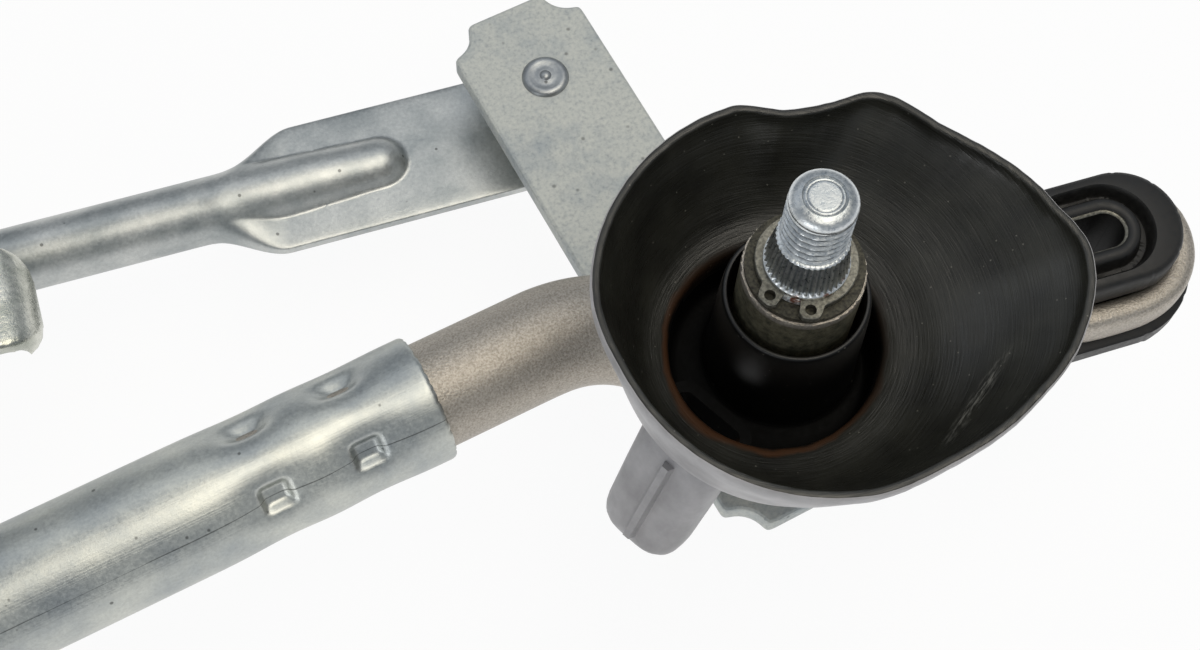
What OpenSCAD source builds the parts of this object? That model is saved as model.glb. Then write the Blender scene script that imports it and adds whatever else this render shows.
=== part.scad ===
// Windscreen wiper linkage for two wipers.
// A bowed steel frame tube is crimped at each end on a die-cast pivot housing.
// The two cranks, the coupler rod and the line between the pivots form a parallelogram.
// The origin is midway between the two end bolt slots, at the height of the tube's axis.

/* [Layout] */
// Distance between the two wiper pivot axes
pivot_span = 520; // [440:5:640]
// Distance from a pivot axis out to the centre of its bolt slot
slot_reach = 60.5; // [57:0.5:75]
// How far the pivots sit in front of the line through the bolt slots
pivot_forward = 8; // [5:0.5:12]
// Angle between each straight leg of the tube and the bolt line
leg_turn = 10.6; // [8:0.2:13]
// Angle of the cranks at rest, from square to the bolt line
crank_rest = 10.8; // [0:0.2:16]

/* [Frame tube] */
// Outer diameter of the frame tube
tube_od = 22; // [20:0.5:24]
// Wall of the frame tube
tube_wall = 1.5; // [1.2:0.1:2]
// Length of each straight leg, before the bend in the middle
leg_len = 150; // [135:5:165]
// Distance of the first ring of crimp dents from the end of the tube
dent_start = 13.6; // [10:0.2:16]
// Distance between the two rings of crimp dents
dent_pitch = 16; // [12:0.5:18]
// Width of a square crimp dent
dent_w = 5; // [4:0.2:6]
// Depth of a crimp dent
dent_depth = 1.2; // [0.8:0.1:1.6]

/* [Pivot housing] */
// Height of the bearing tube's rim above the axis of the frame tube
rim_height = 46.6; // [44:0.2:52]
// Outer diameter of the bearing tube
bearing_od = 18.5; // [18:0.1:20]
// Diameter of the cast boss under the water shield
boss_d = 26; // [24:0.5:28]
// Height of the shoulder that carries the water shield
shoulder_height = 12; // [11:0.5:14]
// Depth of the boss below the axis of the frame tube
boss_foot = 11.5; // [10.5:0.5:13]
// Bend radius of the cast arm
arm_bend = 22; // [20:0.5:26]
// Straight stretch of the arm between its bend and the tube
arm_straight = 21.4; // [18:0.2:26]
// Length of the spigot inside the tube
spigot_len = 42; // [38:1:50]
// Thickness of the ear that holds the grommet
ear_t = 8; // [7:0.5:9]
// Width of the metal round the grommet
ear_rim = 5; // [4:0.5:7]
// Thickness of the rib under the ear's arm
ear_rib_t = 5; // [4:0.5:7]

/* [Bolt mountings] */
// Width of the bolt slot in the end sleeves
slot_w = 6.6; // [6.4:0.1:8]
// Overall length of the bolt slot
slot_len = 11.6; // [10:0.2:14]
// Wall of the steel sleeves
sleeve_wall = 2; // [1.5:0.1:2.5]
// Height of the grommets and their sleeves
grommet_h = 20; // [17:0.5:24]
// How far a grommet's upper flange reaches past the sleeve
flange_reach = 7; // [6.5:0.1:8]
// How far a grommet's lower flange reaches past the sleeve
lower_reach = 10.2; // [9:0.2:11]
// How far a grommet's neck reaches past the sleeve
neck_reach = 4.5; // [4:0.1:5.5]
// Depth of the ring groove in a grommet's faces
groove_depth = 2.5; // [1.5:0.1:3]

/* [Pivot shaft] */
// Diameter of the pivot shaft
shaft_d = 13; // [12:0.1:13.2]
// Outside diameter of the wiper post's thread
thread_d = 10; // [8:0.5:10.5]
// Length of the threaded post
thread_len = 12.4; // [10:0.2:16]
// Diameter of the foot of the knurled taper
knurl_d = 12.2; // [11.2:0.1:12.6]
// Diameter of the top of the knurled taper
knurl_top_d = 11; // [10.6:0.1:11.1]
// Length of the knurled taper
knurl_len = 5.4; // [4:0.2:8]
// Height of the plain collar above the retaining ring
collar_h = 1.8; // [1.4:0.1:3]
// Wall of the bearing bushes
bush_wall = 1.25; // [1:0.05:1.4]
// Length of the bearing bushes
bush_len = 16; // [12:0.5:18]
// Section diameter of the shaft seal
seal_d = 1.6; // [1.2:0.1:1.8]
// Thickness of the retaining ring
circlip_t = 1.2; // [1:0.1:1.5]
// Direction in which the retaining ring's gap faces
circlip_turn = 255; // [180:5:330]
// Thickness of the washer on the rim
washer_t = 0.9; // [0.6:0.1:1.5]
// Thickness of the thrust washer above the crank
thrust_t = 2; // [1.5:0.1:3]

/* [Cranks] */
// Distance from the pivot axis to the ball
crank_radius = 79.2; // [70:0.2:86]
// Width of the crank arms
crank_w = 27; // [25:0.5:32]
// Thickness of the crank arms
crank_t = 4; // [3:0.2:5]
// How far a crank reaches past its shaft and its ball
crank_over = 17; // [15.5:0.5:19]
// Radius of the bite at each corner of a crank
bite_r = 5.5; // [4:0.1:6.2]

/* [Ball joints] */
// Diameter of the balls
ball_d = 13; // [12:0.5:14]
// Distance from a crank's underside down to the ball's centre
ball_drop = 13; // [12:0.5:16]
// Distance between the two balls of the double stud
ball_pitch = 17; // [16.5:0.5:20]
// Diameter of the stud's shank
shank_d = 8; // [6.5:0.2:8.4]
// Diameter of the rivet head on the crank
rivet_d = 10.4; // [9:0.2:12]
// Wall of the plastic ball sockets
socket_wall = 2.2; // [1.8:0.1:2.6]

/* [Link rods] */
// Outer diameter of the link rods
rod_od = 12.7; // [12:0.1:13.5]
// Wall of the link rods
rod_wall = 1.5; // [1.2:0.1:2]
// Width of the flattened ends
flat_w = 26; // [24.5:0.5:30]
// Thickness of the flattened ends
flat_t = 3; // [2.4:0.1:3.6]
// Distance from the ball to the shoulder of the flattened end
flat_len = 55; // [50:1:65]
// Distance from the ball to the round end of the bulge
bulge_start = 28; // [24:0.5:32]
// Length of the drive rod between its ball centres
drive_len = 355; // [300:5:400]

/* [Water shield] */
// Height of the shield's rim above the axis of the tube
shield_rim = 42; // [40:0.5:46]
// How far the shield's centre lies outboard of the pivot
shield_out = 5.8; // [4:0.2:8]
// How far the shield's centre lies in front of the pivot
shield_front = 2.5; // [1:0.1:4]
// Wall of the shield
shield_wall = 2; // [1.6:0.1:2.4]
// Height of the floor of the well round the boss
well_floor = 15.5; // [15:0.1:16.5]
// Height of the bowl's floor on the inboard side
bowl_floor = 22; // [21:0.5:23]
// How much higher the bowl's floor lies on the outboard side
floor_rise = 5; // [3:0.5:7]
// Gap between the bearing tube and the shield's collar
collar_gap = 0.95; // [0.6:0.05:1.2]
// How far the collar stays below the rim of the bearing tube
collar_drop = 8; // [6:0.5:10]
// Width of the drain spout
spout_w = 16; // [14:0.5:17]
// Depth of the drain spout, in the radial direction
spout_d = 9; // [8.5:0.5:10]
// Length of the drain spout
spout_len = 25; // [22:1:27]
// Direction of the drain spout from the pivot
spout_turn = 210; // [206:1:214]
// Outward lean of the drain spout
spout_lean = 28; // [24:1:30]

/* [Motor bracket] */
// Thickness of the bracket's sheet
sheet_t = 3; // [2.5:0.1:3.5]
// Height of the bracket's underside above the tube's axis
plate_height = 6; // [5:0.5:7]
// Distance of the motor's axis inboard of the right pivot
motor_inboard = 165; // [155:1:172]
// Distance of the motor's axis behind the pivots
motor_behind = 50; // [46:1:56]
// Diameter of the hole for the motor's boss
motor_hole_d = 32; // [26:1:36]
// Diameter of the circle of motor screws
screw_circle_d = 76; // [70:1:82]
// Diameter of the motor screw holes
screw_d = 6.6; // [5.5:0.1:7]
// Distance from the motor's axis to the end of the rolled wing
wing_reach = 53; // [51:0.5:58]
// Width of the wings
wing_w = 19; // [17:0.5:23]
// Outer radius of the wing's rolled end
roll_r = 7; // [5.5:0.5:8]
// Distance from the motor's axis to the middle grommet
stay_reach = 66; // [60:1:80]
// Diameter of the bolt hole in the middle sleeve
stay_bore_d = 6.6; // [6.4:0.1:8.4]
// Height of the middle grommet
stay_h = 15; // [13:0.5:18]

/* [Hidden] */
$fn = 64;

// Clearances
run_gap = 0.04;
seat_gap = 0.1;
ball_gap = 0.12;
over = 1;

// Colours
zinc = "silver";
zinc_matt = [0.72, 0.74, 0.72];
cast_grey = [0.62, 0.6, 0.57];
bronze = [0.62, 0.5, 0.32];
black_plastic = [0.09, 0.09, 0.1];
black_rubber = [0.13, 0.13, 0.13];
dark_steel = [0.36, 0.36, 0.35];
nylon = [0.86, 0.85, 0.8];

// Tube and arm, in the frame of the right pivot
tube_r = tube_od / 2;
tube_ir = tube_r - tube_wall;
spigot_r = tube_ir - seat_gap;
boss_r = boss_d / 2;
bearing_r = bearing_od / 2;
arm_sink = 5.7;
bend_angle = 80 + leg_turn;
root_lap = 0.3;
seam_lap = 0.1;
bend_front = 2;
arm_centre = [-(arm_bend + boss_r - arm_sink), -bend_front];
arm_start = arm_centre + arm_bend * [-sin(leg_turn), cos(leg_turn)];
leg_dir = [cos(leg_turn), sin(leg_turn)];
tube_end = arm_start - arm_straight * leg_dir;
leg_foot = tube_end - leg_len * leg_dir;
half_mid = pivot_span / 2 + leg_foot[0];
bow_r = half_mid / sin(leg_turn);
bow_y = leg_foot[1] - pivot_forward + bow_r * cos(leg_turn);
dent_angles = [45, 135, 225, 315];
dent_stations = [dent_start, dent_start + dent_pitch];
dent_rim = 0.8;
weld_half = 1;

// Shaft and bearing
shaft_r = shaft_d / 2;
bush_r = shaft_r + bush_wall;
seal_seat_r = shaft_r + run_gap + seal_d + run_gap;
seal_seat_depth = seal_d + 2 * seat_gap;
upper_bush_z = rim_height - seal_seat_depth - bush_len;
lower_bush_z = -boss_foot;
circlip_wall = 1.9;
circlip_groove = 0.5;
circlip_gap = 3.2;
circlip_shift = 0.3;
lug_hole_d = 1.7;
lug_d = 4;
lug_out = 0.6;
post_chamfer = 1.1;
spline_step = 1.5;
spline_r = shaft_r - spline_step;
washer_z = rim_height + seat_gap;
circlip_z = washer_z + washer_t + seat_gap;
collar_top = circlip_z + circlip_t + collar_h;
knurl_top = collar_top + knurl_len;
post_top = knurl_top + thread_len;
thrust_z = -boss_foot - seat_gap - thrust_t;
crank_top = thrust_z - seat_gap;
crank_foot = crank_top - crank_t;
shaft_head_h = 1.6;
shaft_head_out = 1.2;
washer_in = 0.4;
thrust_in = 2;

// Ball joints and rods
ball_r = ball_d / 2;
shank_r = shank_d / 2;
ball_z = crank_foot - ball_drop;
low_ball_z = ball_z - ball_pitch;
socket_r = ball_r + ball_gap + socket_wall;
socket_lip = 3.6;
socket_foot = 7.6;
socket_brim = 1.4;
stud_flange_h = 2;
stud_flange_out = 2.4;
stud_flange_r = shank_r + stud_flange_out;
rivet_h = 1.3;
rivet_slope = 1.4;
rivet_edge = 0.3;
rod_r = rod_od / 2;
flare_len = 6;
flare_end = rod_r * 0.9;
bulge_r = rod_r * 0.85;
neck_play = 1;

// Bolt mountings
slot_c = slot_len - slot_w;
sleeve_r = slot_w / 2 + sleeve_wall;
stay_r = stay_bore_d / 2 + sleeve_wall;
flange_round = 1.2;
ear_r = sleeve_r + neck_reach + ear_rim;
rib_gap = 0.8;
groove_in = 1.2;
groove_w = 2.6;
ear_root = boss_r * 0.9;
ear_rib_rise = 1;
ear_neck = ear_r * 0.72;
ear_bite = ear_r * 0.6;
ear_pos = [slot_reach, pivot_forward];
ear_turn = atan2(ear_pos[1], ear_pos[0]);

// Water shield: radius of the rim at each direction round the shield's centre
rim_points = [
    [-175, 35.8], [-141, 34.8], [-102, 32.8], [-79, 31.2], [-51, 32.7], [-31, 35.8], [-8, 38.5], [5, 36.4],
    [39, 32.9], [60, 34.6], [73, 31.7], [86, 31.2], [98, 34.4], [128, 36.1], [164, 37.2]
];
shield_steps = 72;
collar_r = bearing_r + collar_gap;
collar_wall = 1.1;
collar_top_z = rim_height - collar_drop;
skirt_wall = 2;
boss_base_r = 12.3;
boss_taper = 6;
well_mean_r = 16.2;
well_swell = 2.6;
foot_mean_r = 25.5;
foot_swell = 3.2;
spout_wall = 1.6;
spout_mid = 19.8;
spout_lap = 6;
spout_corner = 3.4;
rib_w = 1.4;
rib_h = 0.9;
rib_drop = 6;
rib_foot = 1.8;
spout_top = bowl_floor - shield_wall * 0.6;
locate_h = 5;

// Motor bracket
motor_pos = [pivot_span / 2 - motor_inboard, motor_behind - pivot_forward];
screw_r = screw_circle_d / 2;
disc_rim = 18;
hub_rim = 5;
hub_h = 2;
stay_neck = 6;
wing_corner = 5;
saddle_from = 88;
saddle_to = 140;
wing_turns = [0, 120, 240];
stay_pos = motor_pos + [0, stay_reach];

// Everything on one side, drawn for the right pivot and mirrored for the left one
module on_side(side) {
    translate([side * pivot_span / 2, -pivot_forward, 0])
        mirror([side < 0 ? 1 : 0, 0, 0])
            children();
}

// What turns with a pivot: the left crank is parallel to the right one, not its mirror image
module on_pivot(side) {
    translate([side * pivot_span / 2, -pivot_forward, 0])
        rotate([0, 0, 90 + crank_rest])
            children();
}

// The axis of the leg: X runs inboard from the end of the tube
module on_leg() {
    translate([tube_end[0], tube_end[1], 0])
        rotate([0, 0, 180 + leg_turn])
            children();
}

module rod_x(r, h) {
    rotate([0, 90, 0])
        cylinder(r = r, h = h);
}

module ring(r_out, r_in, h) {
    difference() {
        cylinder(r = r_out, h = h);
        translate([0, 0, -over])
            cylinder(r = r_in, h = h + 2 * over);
    }
}

// The ends of an obround; a round form has only one
function ends(c) = c > 0 ? [-1, 1] : [0];

// Flat obround with its long axis along X
module obround(r, c) {
    if (c > 0)
        square([c, 2 * r], center = true);
    for (s = ends(c))
        translate([s * c / 2, 0])
            circle(r = r);
}

// Body with an obround plan: a half profile is turned at both ends and drawn out between them
module obround_body(c) {
    for (s = ends(c))
        translate([s * c / 2, 0, 0])
            rotate_extrude()
                children();
    if (c > 0)
        rotate([90, 0, 90])
            translate([0, 0, -c / 2])
                linear_extrude(c) {
                    children();
                    mirror([1, 0])
                        children();
                }
}

// Blocks at every crimp dent of one end, from r_in outward
module dents(width, r_in, h) {
    for (x = dent_stations, a = dent_angles)
        translate([x, 0, 0])
            rotate([a, 0, 0])
                translate([-width / 2, -width / 2, r_in])
                    cube([width, width, h]);
}

module tube_section(r) {
    for (side = [-1, 1])
        on_side(side)
            on_leg()
                rod_x(r, leg_len);
    translate([0, bow_y, 0])
        rotate([0, 0, 270 - leg_turn])
            rotate_extrude(angle = 2 * leg_turn)
                translate([bow_r, 0])
                    circle(r = r);
}

module frame_tube() {
    color(zinc)
        difference() {
            union() {
                difference() {
                    tube_section(tube_r);
                    tube_section(tube_ir);
                    for (side = [-1, 1])
                        on_side(side)
                            on_leg()
                                translate([-over, 0, 0])
                                    rod_x(tube_ir, 2 * over);
                }
                for (side = [-1, 1])
                    on_side(side)
                        on_leg() {
                            dents(dent_w + 2 * dent_rim, tube_ir - dent_depth, dent_depth + tube_wall / 2);
                            translate([leg_len - weld_half, 0, 0])
                                rotate([0, 90, 0])
                                    ring(tube_r - tube_wall / 3, tube_ir + tube_wall / 3, 2 * weld_half);
                        }
            }
            for (side = [-1, 1])
                on_side(side)
                    on_leg()
                        dents(dent_w, tube_r - dent_depth, dent_depth + over);
        }
}

// Cast arm: spigot in the tube, straight stretch and bend into the boss
module cast_arm() {
    difference() {
        on_leg()
            translate([-arm_straight, 0, 0])
                rod_x(spigot_r, arm_straight + spigot_len);
        on_leg()
            dents(
                dent_w + 2 * dent_rim + 2 * seat_gap,
                tube_ir - dent_depth - seat_gap,
                dent_depth + over
            );
    }
    on_leg()
        translate([-arm_straight, arm_bend, 0])
            mirror([1, 0, 0]) {
                rotate([0, 0, -90])
                    rotate_extrude(angle = bend_angle)
                        translate([arm_bend, 0])
                            circle(r = spigot_r);
                rotate([0, 0, -90])
                    translate([arm_bend, 0, 0])
                        sphere(r = spigot_r + seam_lap);
                rotate([0, 0, bend_angle - 90])
                    translate([arm_bend, 0, 0])
                        sphere(r = spigot_r + root_lap);
            }
}

// Tapered arm with a rib below it, and the ring that grips the grommet
module cast_ear() {
    reach = norm(ear_pos) - ear_bite;
    rib_end = norm(ear_pos) - sleeve_r - lower_reach - slot_c / 2 - rib_gap;
    rotate([0, 0, ear_turn]) {
        translate([0, 0, -ear_t / 2])
            linear_extrude(ear_t)
                polygon([
                    [0, -ear_root],
                    [reach, -ear_neck],
                    [reach, ear_neck],
                    [0, ear_root]
                ]);
        rotate([90, 0, 0])
            translate([0, 0, -ear_rib_t / 2])
                linear_extrude(ear_rib_t)
                    polygon([
                        [0, 0],
                        [0, ear_rib_rise - boss_foot],
                        [boss_r, ear_rib_rise - boss_foot],
                        [rib_end, -ear_t / 2],
                        [rib_end, 0]
                    ]);
    }
    translate([ear_pos[0], ear_pos[1], -ear_t / 2])
        linear_extrude(ear_t)
            obround(ear_r, slot_c);
}

module pivot_housing(side) {
    color(cast_grey)
        on_side(side)
            difference() {
                union() {
                    cast_arm();
                    cast_ear();
                    translate([0, 0, -boss_foot])
                        cylinder(r = boss_r, h = boss_foot + shoulder_height);
                    cylinder(r = collar_r - seat_gap, h = shoulder_height + locate_h);
                    cylinder(r = bearing_r, h = rim_height);
                }
                translate([0, 0, -boss_foot - over])
                    cylinder(r = bush_r, h = boss_foot + rim_height + 2 * over);
                translate([0, 0, rim_height - seal_seat_depth])
                    cylinder(r = seal_seat_r, h = seal_seat_depth + over);
                translate([ear_pos[0], ear_pos[1], -ear_t])
                    linear_extrude(2 * ear_t)
                        obround(sleeve_r + neck_reach, slot_c);
            }
}

module bush(side, z) {
    color(bronze)
        on_side(side)
            translate([0, 0, z])
                ring(bush_r, shaft_r + run_gap, bush_len);
}

module shaft_seal(side) {
    color(black_rubber)
        on_side(side)
            translate([0, 0, rim_height - seat_gap - seal_d / 2])
                rotate_extrude()
                    translate([shaft_r + run_gap + seal_d / 2, 0])
                        circle(r = seal_d / 2);
}

// Half section of a grommet: two flanges with round edges, the lower one wider
module grommet_profile(h, r) {
    for (s = [-1, 1])
        mirror([0, s < 0 ? 1 : 0])
            flange_profile(h / 2, r + (s < 0 ? lower_reach : flange_reach));
}

module flange_profile(half, r) {
    square([r, half - flange_round]);
    square([r - flange_round, half]);
    translate([r - flange_round, half - flange_round])
        circle(r = flange_round);
}

module grommet_form(h, r, neck, c) {
    difference() {
        union() {
            difference() {
                obround_body(c)
                    intersection() {
                        grommet_profile(h, r);
                        translate([0, -h])
                            square([h + r + lower_reach, 2 * h]);
                    }
                translate([0, 0, -neck / 2])
                    linear_extrude(neck)
                        obround(r + 2 * lower_reach, c);
            }
            translate([0, 0, -neck / 2])
                linear_extrude(neck)
                    obround(r + neck_reach - seat_gap, c);
        }
        translate([0, 0, -h])
            linear_extrude(2 * h)
                obround(r, c);
        for (s = [-1, 1])
            translate([0, 0, s * h / 2 - groove_depth])
                linear_extrude(2 * groove_depth)
                    difference() {
                        obround(r + groove_in + groove_w, c);
                        obround(r + groove_in, c);
                    }
    }
}

module grommet(side) {
    color(black_rubber)
        on_side(side)
            translate([ear_pos[0], ear_pos[1], 0])
                grommet_form(grommet_h, sleeve_r, ear_t, slot_c);
}

module mount_sleeve(side) {
    color(dark_steel)
        on_side(side)
            translate([ear_pos[0], ear_pos[1], -grommet_h / 2])
                linear_extrude(grommet_h)
                    difference() {
                        obround(sleeve_r, slot_c);
                        obround(slot_w / 2, slot_c);
                    }
}

// Periodic smooth curve through the rim's points, as a radius at angle a
function rim_at(i) =
    let (n = len(rim_points), k = floor(i / n), p = rim_points[i - k * n])
    [p[0] + 360 * k, p[1]];
function rim_seg(a, i = 0) = rim_at(i + 1)[0] > a ? i : rim_seg(a, i + 1);
function smooth(p, q, r, s, t) =
    q + 0.5 * t * (r - p + t * (2 * p - 5 * q + 4 * r - s + t * (3 * (q - r) + s - p)));
function rim_radius(a) =
    let (
        i = rim_seg(a),
        lo = rim_at(i),
        hi = rim_at(i + 1),
        t = (a - lo[0]) / (hi[0] - lo[0])
    )
    smooth(rim_at(i - 1)[1], lo[1], hi[1], rim_at(i + 2)[1], t);

// The bowl's floor rises from the drain to the opposite side
function floor_z(a) = bowl_floor + floor_rise * (1 - cos(a - spout_turn)) / 2;
// The edge of the well and the foot of the wall swell out over the drain
function well_r(a) = well_mean_r + well_swell * cos(a - spout_turn);
function foot_r(a) = foot_mean_r + foot_swell * cos(a - spout_turn);
function wall_r(a, t) = foot_r(a) + (rim_radius(a) - foot_r(a)) * t;

// One station of the shield's wall at angle a: [share of the centre's offset, radius, height]
function shield_section(a) =
    let (
        z = floor_z(a),
        r = rim_radius(a),
        e = well_r(a),
        depth = shield_rim - z,
        w = shield_wall,
        lip = 1.2
    )
    [
        [0, collar_r, collar_top_z],
        [0, collar_r + collar_wall, collar_top_z],
        [0, collar_r + collar_wall * 1.3, collar_top_z - boss_taper],
        [0, boss_base_r - 0.3, well_floor + 1.2],
        [0, boss_base_r, well_floor],
        [0, e - 1, well_floor],
        [0, e - 0.5, well_floor + 0.8],
        [0, e, z - 1.2],
        [0, e + 1, z],
        [0.2, foot_r(a) - w - 2.2, z + 0.4],
        [0.3, foot_r(a) - w, z + 2.6],
        [0.6, wall_r(a, 0.4) - w, z + depth * 0.36],
        [0.85, wall_r(a, 0.8) - w, z + depth * 0.74],
        [1, r - w - lip * 0.3, shield_rim - lip * 2],
        [1, r - w * 0.8, shield_rim - lip * 0.2],
        [1, r - w * 0.4, shield_rim],
        [1, r, shield_rim - lip * 0.6],
        [0.85, wall_r(a, 0.8), z + depth * 0.72],
        [0.6, wall_r(a, 0.4), z + depth * 0.3],
        [0.3, foot_r(a), z + 0.6],
        [0.2, foot_r(a) - 2, z - w],
        [0, e + w + 0.6, z - w],
        [0, e + w - 0.2, well_floor],
        [0, e + w - 1.6, well_floor - w],
        [0, collar_r + skirt_wall + 1, well_floor - w],
        [0, collar_r + skirt_wall, well_floor - w - 0.6],
        [0, collar_r + skirt_wall, shoulder_height],
        [0, collar_r, shoulder_height]
    ];

function shield_point(s, a) = [
    s[0] * shield_out + s[1] * cos(a),
    -s[0] * shield_front + s[1] * sin(a),
    s[2]
];

// Closed ring of sections, each joined to the next by two rows of triangles
module shield_shell() {
    n = shield_steps;
    angles = [for (i = [0:n - 1]) -175 + i * 360 / n];
    sections = [for (a = angles) shield_section(a)];
    m = len(sections[0]);
    points = [for (i = [0:n - 1], s = sections[i]) shield_point(s, angles[i])];
    faces = [
        for (i = [0:n - 1], j = [0:m - 1])
            let (
                p = i * m + j,
                q = i * m + (j + 1) % m,
                r = ((i + 1) % n) * m + (j + 1) % m,
                s = ((i + 1) % n) * m + j
            )
            each [[p, r, q], [p, s, r]]
    ];
    polyhedron(points = points, faces = faces, convexity = 6);
}

// Round-cornered bar along the drain's axis, grown by d on every side
module spout_bar(d, top, foot) {
    w = spout_w / 2 + d;
    t = spout_d / 2 + d;
    corner = spout_corner + d;
    rotate([0, 0, spout_turn])
        translate([spout_mid, 0, spout_top])
            rotate([0, -spout_lean, 0])
                translate([0, 0, -foot])
                    linear_extrude(foot + top) {
                        square([2 * t, 2 * (w - corner)], center = true);
                        square([2 * (t - corner), 2 * w], center = true);
                        for (x = [-1, 1], y = [-1, 1])
                            translate([x * (t - corner), y * (w - corner)])
                                circle(r = corner);
                    }
}

// Rib along the outer face of the spout
module spout_rib() {
    rotate([0, 0, spout_turn])
        translate([spout_mid, 0, spout_top])
            rotate([0, -spout_lean, 0])
                translate([spout_d / 2 - over, -rib_w / 2, rib_foot - spout_len])
                    cube([over + rib_h, rib_w, spout_len - rib_drop - rib_foot]);
}

module below_floor() {
    difference() {
        children();
        translate([-pivot_span, -pivot_span, spout_top])
            cube([2 * pivot_span, 2 * pivot_span, rim_height]);
    }
}

// What the spout must leave free between the boss and the edge of the well
module well_room() {
    difference() {
        rotate([0, 0, spout_turn])
            translate([well_swell, 0, well_floor + over])
                cylinder(r = well_mean_r - over, h = spout_top - well_floor);
        cylinder(r = boss_base_r + over, h = rim_height);
    }
}

module water_shield(side) {
    color(black_plastic)
        on_side(side)
            difference() {
                union() {
                    shield_shell();
                    below_floor() {
                        spout_bar(0, spout_lap, spout_len);
                        spout_rib();
                    }
                }
                below_floor()
                    spout_bar(-spout_wall, spout_lap, spout_len + over);
                well_room();
            }
}

// Sheet outline of the motor bracket: disc, three wings and the neck towards the tube
module bracket_outline() {
    difference() {
        union() {
            translate(motor_pos) {
                circle(r = motor_hole_d / 2 + disc_rim);
                for (a = wing_turns)
                    rotate(a)
                        wing_outline(a == 0 ? wing_reach : screw_r + wing_w / 2);
                translate([-stay_r - stay_neck, 0])
                    square([2 * (stay_r + stay_neck), stay_reach]);
            }
            translate(stay_pos)
                circle(r = stay_r + neck_reach + ear_rim);
            saddle_axis()
                translate([saddle_from, 0])
                    square([saddle_to - saddle_from, 2 * tube_od]);
        }
        saddle_axis()
            translate([0, -tube_od])
                square([leg_len, tube_od]);
        translate(motor_pos) {
            circle(d = motor_hole_d);
            for (a = wing_turns)
                rotate(a)
                    translate([screw_r, 0])
                        circle(d = screw_d);
        }
        translate(stay_pos)
            circle(r = stay_r + neck_reach);
    }
}

module wing_outline(reach) {
    translate([0, -wing_w / 2])
        square([reach - wing_corner, wing_w]);
    translate([0, -wing_w / 2 + wing_corner])
        square([reach, wing_w - 2 * wing_corner]);
    for (s = [-1, 1])
        translate([reach - wing_corner, s * (wing_w / 2 - wing_corner)])
            circle(r = wing_corner);
}

// Plan axis of the right leg, with Y towards the back of the linkage
module saddle_axis() {
    translate([pivot_span / 2 + tube_end[0], tube_end[1] - pivot_forward])
        rotate(180 + leg_turn)
            mirror([0, 1])
                children();
}

// Section of the rolled wing along its length: flat sheet, then a quarter turn down
module roll_section() {
    square([wing_reach - roll_r, sheet_t]);
    translate([wing_reach - roll_r, sheet_t - roll_r])
        intersection() {
            difference() {
                circle(r = roll_r);
                circle(r = roll_r - sheet_t);
            }
            square(roll_r);
        }
}

module motor_bracket() {
    color(zinc)
        difference() {
            union() {
                difference() {
                    translate([0, 0, plate_height])
                        linear_extrude(sheet_t)
                            bracket_outline();
                    translate([motor_pos[0] + wing_reach - roll_r, motor_pos[1] - wing_w, 0])
                        cube([2 * roll_r, 2 * wing_w, plate_height + 2 * sheet_t]);
                }
                intersection() {
                    translate([motor_pos[0], motor_pos[1] + wing_w / 2, plate_height])
                        rotate([90, 0, 0])
                            linear_extrude(wing_w)
                                difference() {
                                    roll_section();
                                    translate([-over, -over])
                                        square([wing_reach - roll_r - over, sheet_t + 2 * over]);
                                }
                    translate([motor_pos[0], motor_pos[1], plate_height - roll_r])
                        linear_extrude(2 * roll_r)
                            wing_outline(wing_reach);
                }
                translate([motor_pos[0], motor_pos[1], plate_height])
                    ring(motor_hole_d / 2 + hub_rim, motor_hole_d / 2, sheet_t + hub_h);
                saddle();
            }
            on_side(1)
                on_leg()
                    translate([saddle_from - over, 0, 0])
                        rod_x(tube_r + run_gap, saddle_to - saddle_from + 2 * over);
        }
}

// Half pipe over the tube
module saddle() {
    on_side(1)
        on_leg()
            intersection() {
                translate([saddle_from, 0, 0])
                    rod_x(tube_r + sheet_t, saddle_to - saddle_from);
                translate([saddle_from - over, -tube_od, 0])
                    cube([saddle_to - saddle_from + 2 * over, 2 * tube_od, tube_od]);
            }
}

module grommet_middle() {
    color(black_rubber)
        translate([stay_pos[0], stay_pos[1], plate_height + sheet_t / 2])
            grommet_form(stay_h, stay_r, sheet_t, 0);
}

module mount_sleeve_middle() {
    color(dark_steel)
        translate([stay_pos[0], stay_pos[1], plate_height + sheet_t / 2 - stay_h / 2])
            ring(stay_r, stay_bore_d / 2, stay_h);
}

// Shaft with its riveted foot, ring groove, collar, knurled taper and threaded post
module pivot_shaft(side) {
    groove_r = shaft_r - circlip_groove;
    color(zinc)
        on_pivot(side)
            rotate_extrude()
                polygon([
                    [0, crank_foot - shaft_head_h],
                    [spline_r, crank_foot - shaft_head_h],
                    [spline_r + shaft_head_out, crank_foot],
                    [spline_r, crank_foot],
                    [spline_r, crank_top],
                    [shaft_r, crank_top],
                    [shaft_r, circlip_z - run_gap],
                    [groove_r, circlip_z - run_gap],
                    [groove_r, circlip_z + circlip_t + run_gap],
                    [shaft_r, circlip_z + circlip_t + run_gap],
                    [shaft_r, collar_top],
                    [knurl_d / 2, collar_top],
                    [knurl_top_d / 2, knurl_top],
                    [thread_d / 2, knurl_top],
                    [thread_d / 2, post_top - post_chamfer],
                    [thread_d / 2 - post_chamfer, post_top],
                    [0, post_top]
                ]);
}

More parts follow.
